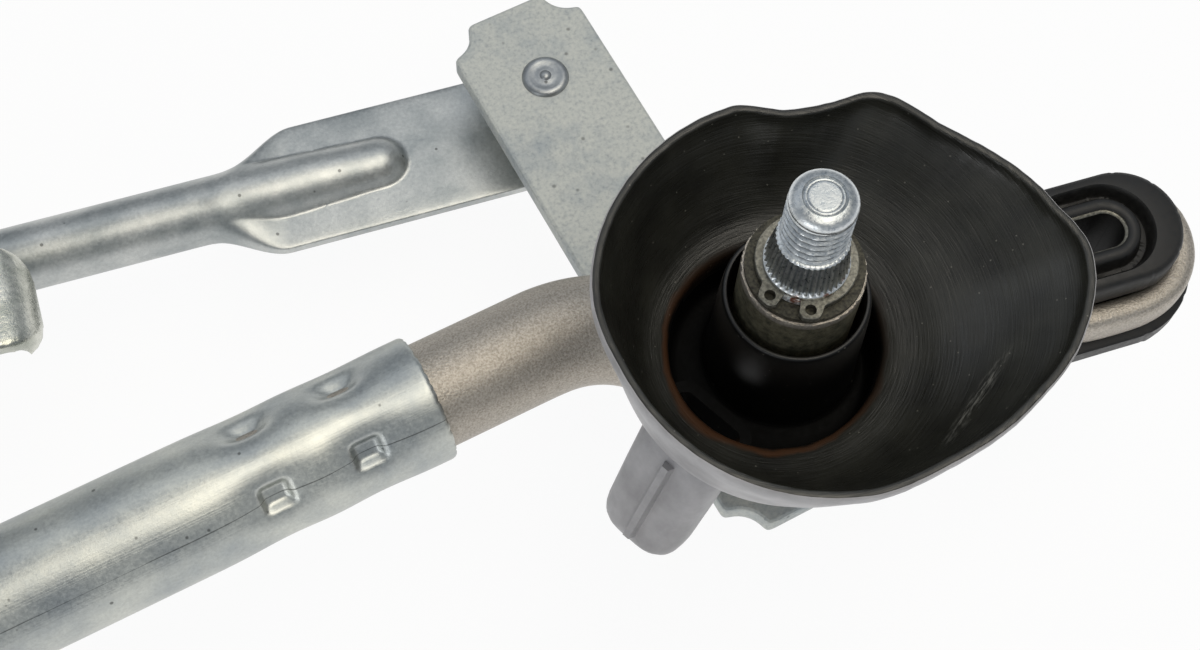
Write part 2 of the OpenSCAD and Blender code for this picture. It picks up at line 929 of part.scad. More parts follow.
// Retaining ring: it grows thinner towards the lugs, and its gap faces circlip_turn
module circlip(side) {
    groove_r = shaft_r - circlip_groove + run_gap;
    lug_y = circlip_gap / 2 + lug_d / 2;
    color(dark_steel)
        translate([side * pivot_span / 2, -pivot_forward, circlip_z])
            rotate([0, 0, circlip_turn])
                linear_extrude(circlip_t)
                    difference() {
                        union() {
                            translate([-circlip_shift, 0])
                                circle(r = groove_r + circlip_wall);
                            for (s = [-1, 1])
                                translate([groove_r + lug_out, s * lug_y])
                                    circle(d = lug_d);
                        }
                        circle(r = groove_r);
                        translate([0, -circlip_gap / 2])
                            square([2 * shaft_d, circlip_gap]);
                        for (s = [-1, 1])
                            translate([groove_r + lug_out, s * lug_y])
                                circle(d = lug_hole_d);
                    }
}

module rim_washer(side) {
    color(dark_steel)
        on_pivot(side)
            translate([0, 0, washer_z])
                ring(bearing_r - washer_in, shaft_r + run_gap, washer_t);
}

module thrust_washer(side) {
    color(nylon)
        on_pivot(side)
            translate([0, 0, thrust_z])
                ring(boss_r - thrust_in, shaft_r + run_gap, thrust_t);
}

// Crank plate with a bite out of each corner, along X from the shaft to the ball
module crank_arm(side) {
    color(zinc_matt)
        on_pivot(side)
            translate([0, 0, crank_foot])
                linear_extrude(crank_t)
                    difference() {
                        translate([-crank_over, -crank_w / 2])
                            square([crank_radius + 2 * crank_over, crank_w]);
                        for (x = [-crank_over, crank_radius + crank_over], s = [-1, 1])
                            translate([x, s * crank_w / 2])
                                circle(r = bite_r);
                        circle(r = spline_r + run_gap);
                        translate([crank_radius, 0])
                            circle(r = shank_r + run_gap);
                    }
}

// Turned stud from the rivet head down to the neck above the first ball
module stud(low_z) {
    translate([crank_radius, 0, 0]) {
        rotate_extrude()
            polygon([
                [0, crank_top + rivet_h],
                [rivet_d / 2 - rivet_slope, crank_top + rivet_h],
                [rivet_d / 2, crank_top + rivet_edge],
                [rivet_d / 2, crank_top],
                [shank_r, crank_top],
                [shank_r, crank_foot],
                [stud_flange_r, crank_foot],
                [stud_flange_r, crank_foot - stud_flange_h],
                [shank_r, crank_foot - stud_flange_h],
                [shank_r, low_z],
                [0, low_z]
            ]);
        for (z = [ball_z, low_z])
            translate([0, 0, z])
                sphere(r = ball_r);
    }
}

module ball_stud_right() {
    color(zinc)
        on_pivot(1)
            stud(ball_z);
}

module double_ball_stud_left() {
    color(zinc)
        on_pivot(-1)
            stud(low_ball_z);
}

// Moves from the pivot's own axes to the ball of that pivot, with X along the rods again
module at_ball(side, z) {
    on_pivot(side)
        translate([crank_radius, 0, z])
            rotate([0, 0, -90 - crank_rest])
                children();
}

// Hollow rod from ball to ball along X, with a flattened plate and a tapering bulge at each end
module rod(length) {
    difference() {
        union() {
            translate([flat_len, 0, 0])
                rod_x(rod_r, length - 2 * flat_len);
            for (s = [0, 1])
                translate([s * length, 0, 0])
                    mirror([s, 0, 0])
                        rod_end();
        }
        translate([flat_len + rod_r, 0, 0])
            rod_x(rod_r - rod_wall, length - 2 * flat_len - 2 * rod_r);
        for (x = [0, length])
            translate([x, 0, -flat_t])
                cylinder(r = socket_r + seat_gap, h = 2 * flat_t);
    }
}

module rod_end() {
    translate([0, 0, -flat_t / 2])
        linear_extrude(flat_t) {
            circle(r = flat_w / 2);
            translate([0, -flat_w / 2])
                square([flat_len - flare_len, flat_w]);
            polygon([
                [flat_len - flare_len - over, -flat_w / 2],
                [flat_len - flare_len, -flat_w / 2],
                [flat_len + flare_len, -flare_end],
                [flat_len + flare_len, flare_end],
                [flat_len - flare_len, flat_w / 2],
                [flat_len - flare_len - over, flat_w / 2]
            ]);
        }
    translate([bulge_start + bulge_r, 0, 0]) {
        sphere(r = bulge_r);
        rotate([0, 90, 0])
            cylinder(r1 = bulge_r, r2 = rod_r, h = flat_len - bulge_start - bulge_r);
    }
}

module coupler_rod() {
    color(zinc)
        at_ball(-1, ball_z)
            rod(pivot_span);
}

module drive_rod() {
    color(zinc)
        at_ball(-1, low_ball_z)
            rod(drive_len);
}

// Plastic socket snapped in the rod's hole; the open kind lets a stud pass right through
module socket(through) {
    brim_r = socket_r + socket_brim;
    half = flat_t / 2 + seat_gap;
    depth = through ? socket_lip + socket_brim : socket_foot;
    color(nylon)
        difference() {
            union() {
                translate([0, 0, -depth])
                    cylinder(r = socket_r, h = socket_lip + depth);
                translate([0, 0, half])
                    cylinder(r1 = brim_r, r2 = socket_r, h = socket_lip - half);
                translate([0, 0, -half - socket_brim])
                    cylinder(r = brim_r, h = socket_brim);
            }
            sphere(r = ball_r + ball_gap);
            translate([0, 0, through ? -socket_foot - over : 0])
                cylinder(r = shank_r + neck_play, h = 2 * socket_foot + over);
        }
}

module coupler_socket(side) {
    at_ball(side, ball_z)
        socket(side < 0);
}

module drive_socket(x) {
    at_ball(-1, low_ball_z)
        translate([x, 0, 0])
            socket(false);
}

frame_tube();
pivot_housing(1);  // pivot_housing_right
pivot_housing(-1);  // pivot_housing_left
bush(1, upper_bush_z);  // upper_bush_right
bush(-1, upper_bush_z);  // upper_bush_left
bush(1, lower_bush_z);  // lower_bush_right
bush(-1, lower_bush_z);  // lower_bush_left
shaft_seal(1);  // shaft_seal_right
shaft_seal(-1);  // shaft_seal_left
water_shield(1);  // water_shield_right
water_shield(-1);  // water_shield_left
grommet(1);  // grommet_right
grommet(-1);  // grommet_left
mount_sleeve(1);  // mount_sleeve_right
mount_sleeve(-1);  // mount_sleeve_left
motor_bracket();
grommet_middle();
mount_sleeve_middle();
pivot_shaft(1);  // pivot_shaft_right
pivot_shaft(-1);  // pivot_shaft_left
crank_arm(1);  // crank_arm_right
crank_arm(-1);  // crank_arm_left
ball_stud_right();
double_ball_stud_left();
circlip(1);  // circlip_right
circlip(-1);  // circlip_left
rim_washer(1);  // rim_washer_right
rim_washer(-1);  // rim_washer_left
thrust_washer(1);  // thrust_washer_right
thrust_washer(-1);  // thrust_washer_left
coupler_rod();
coupler_socket(1);  // coupler_socket_right
coupler_socket(-1);  // coupler_socket_left
drive_rod();
drive_socket(0);  // drive_socket_crank
drive_socket(drive_len);  // drive_socket_motor
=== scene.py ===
# %% [markdown]
# A windscreen wiper linkage, dressed for a photograph.
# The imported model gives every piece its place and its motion, in metres. This lesson keeps that frame and
# adds what the solids leave out: soft crimp dents, a rolled thread, cast grain, dust, stains and light.

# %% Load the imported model
from functools import partial
from math import asin, cos, exp, hypot, pi, radians, sin, sqrt, tan
import bpy
import numpy as np
from mathutils import Matrix, Vector


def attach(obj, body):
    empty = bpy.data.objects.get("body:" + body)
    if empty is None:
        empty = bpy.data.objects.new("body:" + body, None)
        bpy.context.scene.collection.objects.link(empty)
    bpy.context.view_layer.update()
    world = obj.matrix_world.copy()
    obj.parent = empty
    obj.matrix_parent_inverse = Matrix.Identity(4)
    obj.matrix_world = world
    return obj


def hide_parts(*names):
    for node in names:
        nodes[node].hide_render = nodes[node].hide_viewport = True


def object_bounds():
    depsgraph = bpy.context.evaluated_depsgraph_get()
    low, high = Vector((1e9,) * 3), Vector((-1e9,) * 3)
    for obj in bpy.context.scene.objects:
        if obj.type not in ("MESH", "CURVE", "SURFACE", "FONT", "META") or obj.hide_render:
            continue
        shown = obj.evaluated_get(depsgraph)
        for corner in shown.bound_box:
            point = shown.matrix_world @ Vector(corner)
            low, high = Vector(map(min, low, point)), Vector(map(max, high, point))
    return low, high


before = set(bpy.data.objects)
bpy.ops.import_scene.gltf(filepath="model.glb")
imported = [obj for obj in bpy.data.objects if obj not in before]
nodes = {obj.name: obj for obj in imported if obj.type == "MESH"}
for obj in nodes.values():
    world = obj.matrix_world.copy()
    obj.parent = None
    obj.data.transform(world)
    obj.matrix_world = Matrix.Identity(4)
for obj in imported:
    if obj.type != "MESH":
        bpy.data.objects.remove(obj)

cad_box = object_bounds()
scene = bpy.context.scene
MM = 0.001
SIDE = {1: "right", -1: "left"}
PIVOT = {side: np.array([side * 260.0, -8.0, 0.0]) for side in SIDE}

# %% [markdown]
# The photo was taken from close by, above the right-hand pivot, with a moderate lens. The camera's place and its
# axes were found from the pivot, the tube and the crank, whose sizes are known, so no shift is needed.

# %% Camera at the photograph's place
def stand(name, data):
    thing = bpy.data.objects.new(name, data)
    scene.collection.objects.link(thing)
    return thing


lens = bpy.data.cameras.new("photo_camera")
lens.sensor_width, lens.lens, lens.clip_start = 36.0, 57.0, 0.01
camera = stand("photo_camera", lens)
axes = Matrix(((0.9517, 0.2639, -0.157), (-0.3052, 0.8691, -0.3893), (0.0337, 0.4184, 0.9077)))
camera.matrix_world = Matrix.Translation((0.18642, -0.11332, 0.29209)) @ axes.to_4x4()
scene.camera = camera
print("camera at", [round(v, 3) for v in camera.location])

# %% [markdown]
# Materials are written as small node trees. One function turns a hex colour, as a paint chart gives it, into
# the linear numbers that a renderer works in, and one function adds any node with its settings and its inputs,
# in order or by name. A node among them lends its first output, a socket is linked, the rest are plain values.
# A finish starts from a blank material, and ends when its colour, relief and gloss go into the shader.

# %% Helpers for materials
FINE_BUMP, COARSE_BUMP = 0.0001, 0.0002


def linear(hex_colour):
    parts = [int(hex_colour[i:i + 2], 16) / 255 for i in (0, 2, 4)]
    return [p / 12.92 if p <= 0.04045 else ((p + 0.055) / 1.055) ** 2.4 for p in parts] + [1.0]


def feed(node, inputs):
    for key, given in inputs.items() if isinstance(inputs, dict) else enumerate(inputs):
        given = given.outputs[0] if hasattr(given, "outputs") else given
        if isinstance(given, bpy.types.NodeSocket):
            node.id_data.links.new(given, node.inputs[key])
        else:
            node.inputs[key].default_value = given


def add(tree, kind, inputs=(), stops=(), op=None, **settings):
    node = tree.nodes.new(kind if "Node" in kind else "ShaderNode" + kind)
    for key, value in (settings | ({"operation": op} if op else {})).items():
        setattr(node, key, value)
    feed(node, inputs)
    for _ in stops[2:]:
        node.color_ramp.elements.new(0.5)
    for index, (place_at, colour) in enumerate(stops):
        stop = node.color_ramp.elements[index]
        stop.position, stop.color = place_at, linear(colour)
    return node


def blank(name, colour, **sockets):
    material = bpy.data.materials.new(name)
    material.use_nodes = True
    settings = {"Base Color": linear(colour)} | {key.replace("_", " "): v for key, v in sockets.items()}
    feed(material.node_tree.nodes["Principled BSDF"], settings)
    return material, partial(add, material.node_tree)


def finished(material, colour, height, bump, gloss=None, distance=FINE_BUMP):
    tree = material.node_tree
    relief = add(tree, "Bump", {"Strength": bump, "Distance": distance, "Height": height})
    surface = {"Base Color": colour, "Normal": relief} | ({} if gloss is None else {"Roughness": gloss})
    feed(tree.nodes["Principled BSDF"], surface)
    return material


print("one hex colour as linear numbers:", [round(v, 3) for v in linear("c0c4c6")])

# %% [markdown]
# Zinc-plated steel, barrel-plated and passivated. The plating is a satin metal, a little blue, with cloudy
# patches some 10 mm wide where the bath ran off, a fine grain, and a few dark specks from handling. The drawn
# tube also has fine lines along it and a dark hairline where its edges were welded together: both follow the
# tube, so they are read from the tube's own UV map, which runs along it in metres and round it from 0 to 1.

# %% Zinc plating
SEAM_TURN = 0.872


def zinc(name, dark, pale, rough, patch_mm, grain_mm, bump, drawn=False):
    material, node = blank(name, pale, Metallic=1.0)
    where = node("TexCoord").outputs["Object"]
    patches = node("TexNoise", {"Vector": where, "Scale": 1000 / patch_mm, "Detail": 4.0, "Roughness": 0.6})
    colour = node("ValToRGB", [patches], [(0.34, dark), (0.64, pale)])
    grain = node("TexNoise", {"Vector": where, "Scale": 1000 / grain_mm, "Detail": 4.0, "Roughness": 0.7})
    pits = node("TexVoronoi", {"Vector": where, "Scale": 200.0})
    marks = node("MapRange", [pits, 0.05, 0.08, 0.4, 1.0])
    height = grain
    if drawn:
        along = node("UVMap")
        split = node("SeparateXYZ", [along])
        ragged = node("TexNoise", {"Vector": along, "Scale": 90.0})
        offset = node("Math", [split.outputs["Y"], SEAM_TURN], op="SUBTRACT")
        size = node("Math", [offset], op="ABSOLUTE")
        broken = node("MapRange", [ragged, 0.4, 0.6, 0.0008, 0.003])
        line = node("MapRange", [size, 0.0, broken, 0.3, 1.0])
        marks = node("Math", [marks, line], op="MULTIPLY")
        stretch = node("Mapping", {0: along, "Scale": (9.0, 240.0, 1.0)})
        strokes = node("TexNoise", {"Vector": stretch, "Scale": 1.0, "Detail": 3.0})
        height = node("Mix", {0: 0.5, 2: grain, 3: strokes})
    sand = node("MapRange", [grain, 0.3, 0.7, 0.8, 1.06])
    marks = node("Math", [marks, sand], op="MULTIPLY")
    both = node("Mix", {0: 1.0, 6: colour, 7: marks}, data_type="RGBA", blend_type="MULTIPLY")
    gloss = node("MapRange", [grain, 0.3, 0.7, *rough])
    return finished(material, both.outputs[2], height, bump, gloss)


tube_zinc = zinc("zinc_plated_drawn_tube", "adb2b2", "cfd1ca", (0.34, 0.48), 14, 0.6, 0.5, drawn=True)
rod_zinc = zinc("zinc_plated_rod", "a6abab", "cccecb", (0.34, 0.48), 11, 0.7, 0.4)
sheet_zinc = zinc("zinc_plated_deep_drawn_sheet", "b0b3a9", "dcdcd2", (0.2, 0.36), 5, 0.9, 1.0)
turned_zinc = zinc("zinc_on_turned_stud", "93979a", "b4b7b7", (0.34, 0.46), 8, 0.6, 0.3)
print("plated finishes:", tube_zinc.name, rod_zinc.name, sheet_zinc.name, turned_zinc.name)

# %% [markdown]
# The shaft is plated after its thread and teeth are rolled. The grooves are painted dark, a painted shade for their
# depth, and the sawn end is painted darker as shade too. The depth of a groove comes from an attribute that the
# rolling step stores on the mesh. Where the collar stands in the wet bowl, small spots of rust have come through.

# %% Bright zinc of the shaft
SHADED_TIP, RUSTY_COLLAR = (0.0678, 0.0683), (0.0497, 0.0508)


def rolled_zinc():
    material, node = blank("bright_zinc_on_rolled_thread", "d6dadc", Metallic=1.0)
    where = node("TexCoord").outputs["Object"]
    grain = node("TexNoise", {"Vector": where, "Scale": 1600.0, "Detail": 4.0, "Roughness": 0.7})
    pale = node("ValToRGB", [grain], [(0.3, "b4bbc0"), (0.6, "dfe2e2")])
    # Painted shade: the groove depth darkens the grooves towards a dark film colour.
    groove = node("Attribute", attribute_name="groove").outputs["Fac"]
    groove_shade = node("MapRange", [groove, 0.2, 0.8, 0.0, 0.75])
    height = node("SeparateXYZ", [where]).outputs["Z"]
    # Painted shade: the top of the bar, its sawn end, is darkened.
    end = node("MapRange", [height, *SHADED_TIP, 0.0, 0.4])
    groove_shade = node("Math", [groove_shade, end], op="MAXIMUM")
    groove_shaded_colour = node("Mix", {0: groove_shade, 6: pale, 7: linear("525d64")}, data_type="RGBA").outputs[2]
    low = node("MapRange", [height, *RUSTY_COLLAR, 1.0, 0.0])
    blots = node("TexNoise", {"Vector": where, "Scale": 420.0, "Detail": 3.0})
    rust = node("MapRange", [blots, 0.56, 0.62, 0.0, 0.85])
    share = node("Math", [low, rust], op="MULTIPLY")
    spotted = node("Mix", {0: share, 6: groove_shaded_colour, 7: linear("7a4526")}, data_type="RGBA")
    gloss = node("MapRange", [grain, 0.3, 0.7, 0.24, 0.4])
    return finished(material, spotted.outputs[2], grain, 0.5, gloss)


shaft_zinc = rolled_zinc()
print("shaft finish:", shaft_zinc.name)

# %% [markdown]
# The crank is blanked from plate and plated without polish. Its surface is matt and pale, with a fine mottle under
# 1 mm, bluish clouds and small dark pits. A matt plate scatters light, so it is only partly metallic here.

# %% Matt zinc of the crank
def mottled_zinc():
    material, node = blank("matt_zinc_on_blanked_plate", "b4b6b1", Metallic=0.3, Roughness=0.58)
    where = node("TexCoord").outputs["Object"]
    mottle = node("TexNoise", {"Vector": where, "Scale": 1300.0, "Detail": 5.0, "Roughness": 0.72})
    fine = node("ValToRGB", [mottle], [(0.3, "a5a9a9"), (0.48, "c0c3be"), (0.72, "cecfc8")])
    clouds = node("TexNoise", {"Vector": where, "Scale": 110.0, "Detail": 5.0, "Roughness": 0.65})
    broad = node("ValToRGB", [clouds], [(0.34, "dfe4ec"), (0.56, "ffffff")])
    pits = node("TexVoronoi", {"Vector": where, "Scale": 240.0})
    speck = node("MapRange", [pits, 0.05, 0.12, 0.5, 1.0])
    colour = fine.outputs[0]
    for layer in (broad, speck):
        colour = node("Mix", {0: 1.0, 6: colour, 7: layer}, data_type="RGBA", blend_type="MULTIPLY").outputs[2]
    return finished(material, colour, mottle, 0.4)


crank_zinc = mottled_zinc()
print("crank finish:", crank_zinc.name)

# %% [markdown]
# Die-cast aluminium keeps the skin of its mould: a warm grey metal with a sandy, sparkling grain of a third of a
# millimetre. The bearing tube of the housing stands in the wet bowl, so it has dulled to a dark olive grey, up to
# a thin band at its rim, which keeps the pale cast colour. Plain steel, rubber and nylon are made by the same
# function: a grain that tints the surface and stands up a little, with an even gloss or one that follows the grain.

# %% Cast aluminium and steel
SANDY, SMOOTH = (3.0, 0.65, 0.32, 0.66), (5.0, 0.5, 0.3, 0.7)
DULL_FROM, PALE_RIM = (0.012, 0.015), (0.0451, 0.0456)


def grained(name, dark, pale, metallic, rough, grain_mm, bump, texture=SANDY, specular=0.5, dull=None):
    material, node = blank(name, pale, Metallic=metallic, Specular_IOR_Level=specular)
    detail, fineness, low, high = texture
    where = node("TexCoord").outputs["Object"]
    grain = node("TexNoise", {"Vector": where, "Scale": 1000 / grain_mm, "Detail": detail, "Roughness": fineness})
    colour = node("ValToRGB", [grain], [(low, dark), (high, pale)]).outputs[0]
    if dull:
        height = node("SeparateXYZ", [where]).outputs["Z"]
        foot = node("MapRange", [height, *DULL_FROM, 0.0, 1.0])
        pale_rim_band = node("MapRange", [height, *PALE_RIM, 1.0, 0.0])
        share = node("Math", [foot, pale_rim_band], op="MULTIPLY")
        blots = node("TexNoise", {"Vector": where, "Scale": 700.0, "Detail": 6.0, "Roughness": 0.7})
        tint = node("ValToRGB", [blots], [(0.34, dull[0]), (0.66, dull[1])])
        colour = node("Mix", {0: share, 6: colour, 7: tint}, data_type="RGBA").outputs[2]
    gloss = node("MapRange", [grain, low, high, *rough]) if isinstance(rough, tuple) else rough
    return finished(material, colour, grain, bump, gloss, COARSE_BUMP)


cast_aluminium = grained("die_cast_aluminium", "968f84", "c1bab0", 0.85, 0.44, 0.36, 0.6, dull=("545348", "9d9880"))
phosphated = grained("phosphated_spring_steel", "55544d", "88867c", 0.8, 0.4, 0.5, 0.25)
blackened = grained("oil_blackened_steel", "1d1c18", "4a483d", 0.6, 0.46, 0.5, 0.3)
black_oxide = grained("black_oxide_steel", "080807", "151412", 0.1, 0.6, 0.5, 0.2, specular=0.15)
print("cast and steel finishes:", cast_aluminium.name, phosphated.name, blackened.name, black_oxide.name)

# %% [markdown]
# Rubber is darker and far less glossy than plastic, with a faint bloom. Nylon for the sockets and washers is left
# in its natural cream, and the bushes are sintered bronze, porous and full of oil. The wells get a near-black
# plastic, which is painted shade for their depth.

# %% Rubber, nylon and bronze
rubber = grained("moulded_rubber", "0c0c0b", "181715", 0.0, (0.42, 0.58), 1.2, 0.12, SMOOTH)
nylon = grained("natural_nylon", "cfc9b8", "dedacd", 0.0, (0.34, 0.46), 2.5, 0.1, SMOOTH)
# Near-black plastic for the wells: painted shade.
well_shade_plastic = grained("black_plastic_painted_well_shade", "020202", "050504", 0.0, (0.6, 0.75), 1.0, 0.05, SMOOTH, specular=0.1)
oiled_bronze = grained("oiled_sintered_bronze", "6a4d2c", "8a683f", 1.0, (0.4, 0.55), 0.6, 0.3, SMOOTH)
print("other finishes:", rubber.name, nylon.name, well_shade_plastic.name, oiled_bronze.name)

# %% [markdown]
# The water shield is moulded in black plastic. Inside it carries fine circular wipe marks, dust, one long scratch,
# and a rust-brown tide mark along the edge of the well where water has stood. The well itself is painted near
# black, as shade. Both shields share one tree: the place relative to the nearer pivot is found by folding X about
# the middle of the linkage.

# %% Black moulded plastic
WELL_CENTRE, TIDE_RADIUS, TO_DRAIN = (0.00225, 0.0013, 0.0), 0.0185, (-0.86, -0.5, 0.0)
SCRATCH = {"Location": (0.2805, -0.0305, 0.0), "Scale": (0.0115, 0.0012, 1000.0),
           "Rotation": (0.0, 0.0, radians(37.4))}


def wet_plastic():
    material, node = blank("black_moulded_plastic", "101011")
    where = node("TexCoord").outputs["Object"]
    split = node("SeparateXYZ", [where]).outputs
    fold = node("Math", [split["X"]], op="ABSOLUTE")
    x = node("Math", [fold, PIVOT[1][0] * MM], op="SUBTRACT")
    y = node("Math", [split["Y"], PIVOT[1][1] * MM], op="SUBTRACT")
    flat = node("CombineXYZ", [x, y])

    # Wipe marks: noise that is long round the pivot and half a millimetre across
    reach = node("VectorMath", [flat], op="LENGTH").outputs["Value"]
    climb = node("Math", [split["Z"], 0.8, reach], op="MULTIPLY_ADD")
    across = node("Math", [climb, 2400.0], op="MULTIPLY")
    turn = node("Math", [y, x], op="ARCTAN2")
    round_it = node("Math", [turn, 3.2], op="MULTIPLY")
    polar = node("CombineXYZ", [across, round_it])
    arcs = node("TexNoise", {"Vector": polar, "Scale": 1.0, "Detail": 3.0, "Roughness": 0.6})

    # Tide mark: a thin band on the edge of the well, wide and strong on the drain's side
    middle = node("VectorMath", [flat, WELL_CENTRE], op="ADD")
    rim = node("VectorMath", [middle], op="LENGTH").outputs["Value"]
    blur = node("TexNoise", {"Vector": where, "Scale": 150.0, "Detail": 4.0})
    wander = node("Math", [blur, 0.0028, -TIDE_RADIUS], op="MULTIPLY_ADD")
    off = node("Math", [rim, wander], op="ADD")
    away = node("Math", [off], op="ABSOLUTE")
    to_edge = node("VectorMath", [middle], op="NORMALIZE")
    lean = node("VectorMath", [to_edge, TO_DRAIN], op="DOT_PRODUCT").outputs["Value"]
    wide = node("MapRange", [lean, 0.85, 1.0, 0.0007, 0.0013])
    ratio = node("Math", [away, wide], op="DIVIDE")
    stain = node("MapRange", [ratio, 0.2, 1.3, 0.55, 0.0], interpolation_type="SMOOTHSTEP")
    strong = node("MapRange", [lean, -0.5, 0.7, 0.12, 1.0])
    low = node("MapRange", [split["Z"], 0.026, 0.029, 1.0, 0.0])
    for share in (strong, low):
        stain = node("Math", [stain, share], op="MULTIPLY")
    # The well mask paints the well near black, as shade, evens its gloss and stills its relief.
    well = node("MapRange", [rim, 0.0162, 0.0176, 1.0, 0.0])

    # Dust, and a long scratch on the front wall of the right-hand shield
    dust = node("TexVoronoi", {"Vector": where, "Scale": 480.0})
    mote = node("MapRange", [dust, 0.05, 0.075, 0.4, 0.0])
    stroke = node("Mapping", {0: where} | SCRATCH, vector_type="TEXTURE")
    near = node("VectorMath", [stroke], op="LENGTH").outputs["Value"]
    area = node("MapRange", [near, 0.3, 1.0, 1.0, 0.0])
    threads = node("TexNoise", {"Vector": stroke, "Scale": 3.5, "Detail": 5.0, "Roughness": 0.7})
    torn = node("MapRange", [threads, 0.47, 0.62, 0.0, 0.5])
    scratch = node("Math", [area, torn], op="MULTIPLY")

    colour = node("ValToRGB", [blur], [(0.3, "1d1d1a"), (0.7, "2b2b26")]).outputs[0]
    # The near-black of the well is painted shade. The motes, the tide stain and the scratch are real marks.
    for share, tint in ((well, "040404"), (mote, "8a887f"), (stain, "573720"), (scratch, "9b9a93")):
        colour = node("Mix", {0: share, 6: colour, 7: linear(tint)}, data_type="RGBA").outputs[2]
    gloss = node("MapRange", [arcs, 0.35, 0.65, 0.24, 0.44])
    wet = node("Mix", {0: well, 2: gloss, 3: 0.4})
    calm = node("MapRange", [rim, 0.0162, 0.0185, 0.0, 0.7])
    return finished(material, colour, arcs, calm, wet)


black_plastic = wet_plastic()
print("shield finish inside:", black_plastic.name)

# %% [markdown]
# The outside of the shield is the same black plastic, painted a pale, mottled grey as a painted reflection of the
# white table. The mould's milling cutter left fine marks across the spout, four to the millimetre, drawn here at
# half that so that they show.

# %% Painted table reflection on the outside
def painted_reflection_plastic():
    material, node = blank("black_plastic_painted_table_reflection", "8f8d8e", Roughness=0.42)
    where = node("TexCoord").outputs["Object"]
    reflection_mottle = node("TexNoise", {"Vector": where, "Scale": 160.0, "Detail": 5.0, "Roughness": 0.6})
    # The pale grey is a painted reflection of the white table.
    colour = node("ValToRGB", [reflection_mottle], [(0.3, "8f8d8e"), (0.7, "afadae")])
    across = node("Mapping", {0: where, "Scale": (60.0, 60.0, 2000.0)})
    marks = node("TexNoise", {"Vector": across, "Scale": 1.0, "Detail": 2.0})
    return finished(material, colour, marks, 0.35)


reflection_grey_plastic = painted_reflection_plastic()
print("shield finish outside:", reflection_grey_plastic.name)

# %% [markdown]
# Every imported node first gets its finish, so that nothing is left with a flat colour. Pieces that follow replace
# some of these nodes with richer shapes.

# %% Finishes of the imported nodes
finish_of = {
    "frame_tube": tube_zinc, "motor_bracket": sheet_zinc, "pivot_shaft": shaft_zinc, "ball_stud": turned_zinc,
    "double_ball_stud": turned_zinc, "coupler_rod": rod_zinc, "drive_rod": rod_zinc, "crank_arm": crank_zinc,
    "pivot_housing": cast_aluminium, "upper_bush": oiled_bronze, "lower_bush": oiled_bronze, "shaft_seal": rubber,
    "grommet": rubber, "water_shield": black_plastic, "mount_sleeve": black_oxide, "circlip": phosphated,
    "rim_washer": blackened, "thrust_washer": nylon, "coupler_socket": nylon, "drive_socket": nylon,
}
for name, node in nodes.items():
    key = max((k for k in finish_of if name.startswith(k)), key=len)
    node.data.materials.clear()
    node.data.materials.append(finish_of[key])
print("finishes set on", len(nodes), "nodes")

# %% [markdown]
# Most visible pieces are skins stretched over a row of closed rings, like the ribs of a boat. One helper makes
# such a skin from rings in millimetres, one puts the mesh on its body, and others turn, cut and settle a mesh.

# %% Helpers for pieces
def skin(rings, loop=False):
    count = len(rings[0])
    points = [tuple(float(v) * MM for v in p) for ring in rings for p in ring]
    rows = len(rings) if loop else len(rings) - 1
    faces = []
    for i in range(rows):
        a, b = i * count, ((i + 1) % len(rings)) * count
        faces += [(a + j, a + (j + 1) % count, b + (j + 1) % count, b + j) for j in range(count)]
    if not loop:
        last = (len(rings) - 1) * count
        faces += [tuple(reversed(range(count))), tuple(range(last, last + count))]
    return points, faces


def smooth(mesh, sharp_deg):
    mesh.shade_smooth()
    mesh.set_sharp_from_angle(angle=radians(sharp_deg))


def mesh_of(name, rings, materials, sharp_deg=40, loop=False, mirrored=False):
    points, faces = skin(rings, loop)
    mesh = bpy.data.meshes.new(name)
    mesh.from_pydata(points, [], [tuple(reversed(f)) for f in faces] if mirrored else faces)
    for material in materials:
        mesh.materials.append(material)
    smooth(mesh, sharp_deg)
    return stand(name, mesh)


def place(piece, body, slot, *stands_for):
    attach(piece, body)
    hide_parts(*stands_for)
    print(piece.name, len(piece.data.polygons), "faces on", body)


def settled(piece, sharp_deg):
    graph = bpy.context.evaluated_depsgraph_get()
    mesh = bpy.data.meshes.new_from_object(piece.evaluated_get(graph), depsgraph=graph)
    piece.modifiers.clear()
    piece.data = mesh
    smooth(mesh, sharp_deg)


def cut(piece, rings, sharp_deg, operation="DIFFERENCE", loop=False, finish=0, mirrored=False):
    tool = mesh_of("tool", rings, piece.data.materials, loop=loop, mirrored=mirrored)
    tool.data.polygons.foreach_set("material_index", [finish] * len(tool.data.polygons))
    step = piece.modifiers.new("cut", "BOOLEAN")
    step.object, step.operation, step.solver = tool, operation, "EXACT"
    settled(piece, sharp_deg)
    bpy.data.objects.remove(tool)


def around(steps):
    return np.linspace(0, 2 * pi, steps, endpoint=False)


def turned(profile, centre, steps):
    turns = around(steps)
    return [np.column_stack([r * np.cos(turns), r * np.sin(turns), np.full(steps, z)]) + centre for r, z in profile]


print("pivots at", [list(p) for p in PIVOT.values()])


# %% [markdown]
# The frame tube is a drawn steel tube with a gentle bow. Each end is crimped on its casting by two rings of square
# punches: a punch leaves a small pocket in front, an oval hollow behind, and the wall around sinks softly. The
# skin's rings lie close together at the crimps, and each point is pushed inwards by the depth of the dents near it.
# The sawn end is a little ragged.

# %% The crimped frame tube
TUBE_R, TUBE_IN, TUBE_STEPS, LEG, LEG_TURN, HALF_MID = 11.0, 9.5, 160, 150.0, radians(10.6), 58.18
TUBE_END, BOW_R = np.array([205.62, 7.69]), HALF_MID / sin(LEG_TURN)
DENTS = [(s, radians(a)) for s in (13.6, 29.6) for a in (35, 135, 225, 315)]
SINK, SINK_LONG, SINK_WIDE = 1.35, 6.0, 5.0
HOLLOW, HOLLOW_LONG, HOLLOW_WIDE, HOLLOW_POWER = 1.5, 3.4, 2.3, 2.6
POCKET, POCKET_HALF, POCKET_WALL = 1.35, 3.1, 1.5


def ease(t):
    t = np.clip(t, 0.0, 1.0)
    return t * t * (3 - 2 * t)


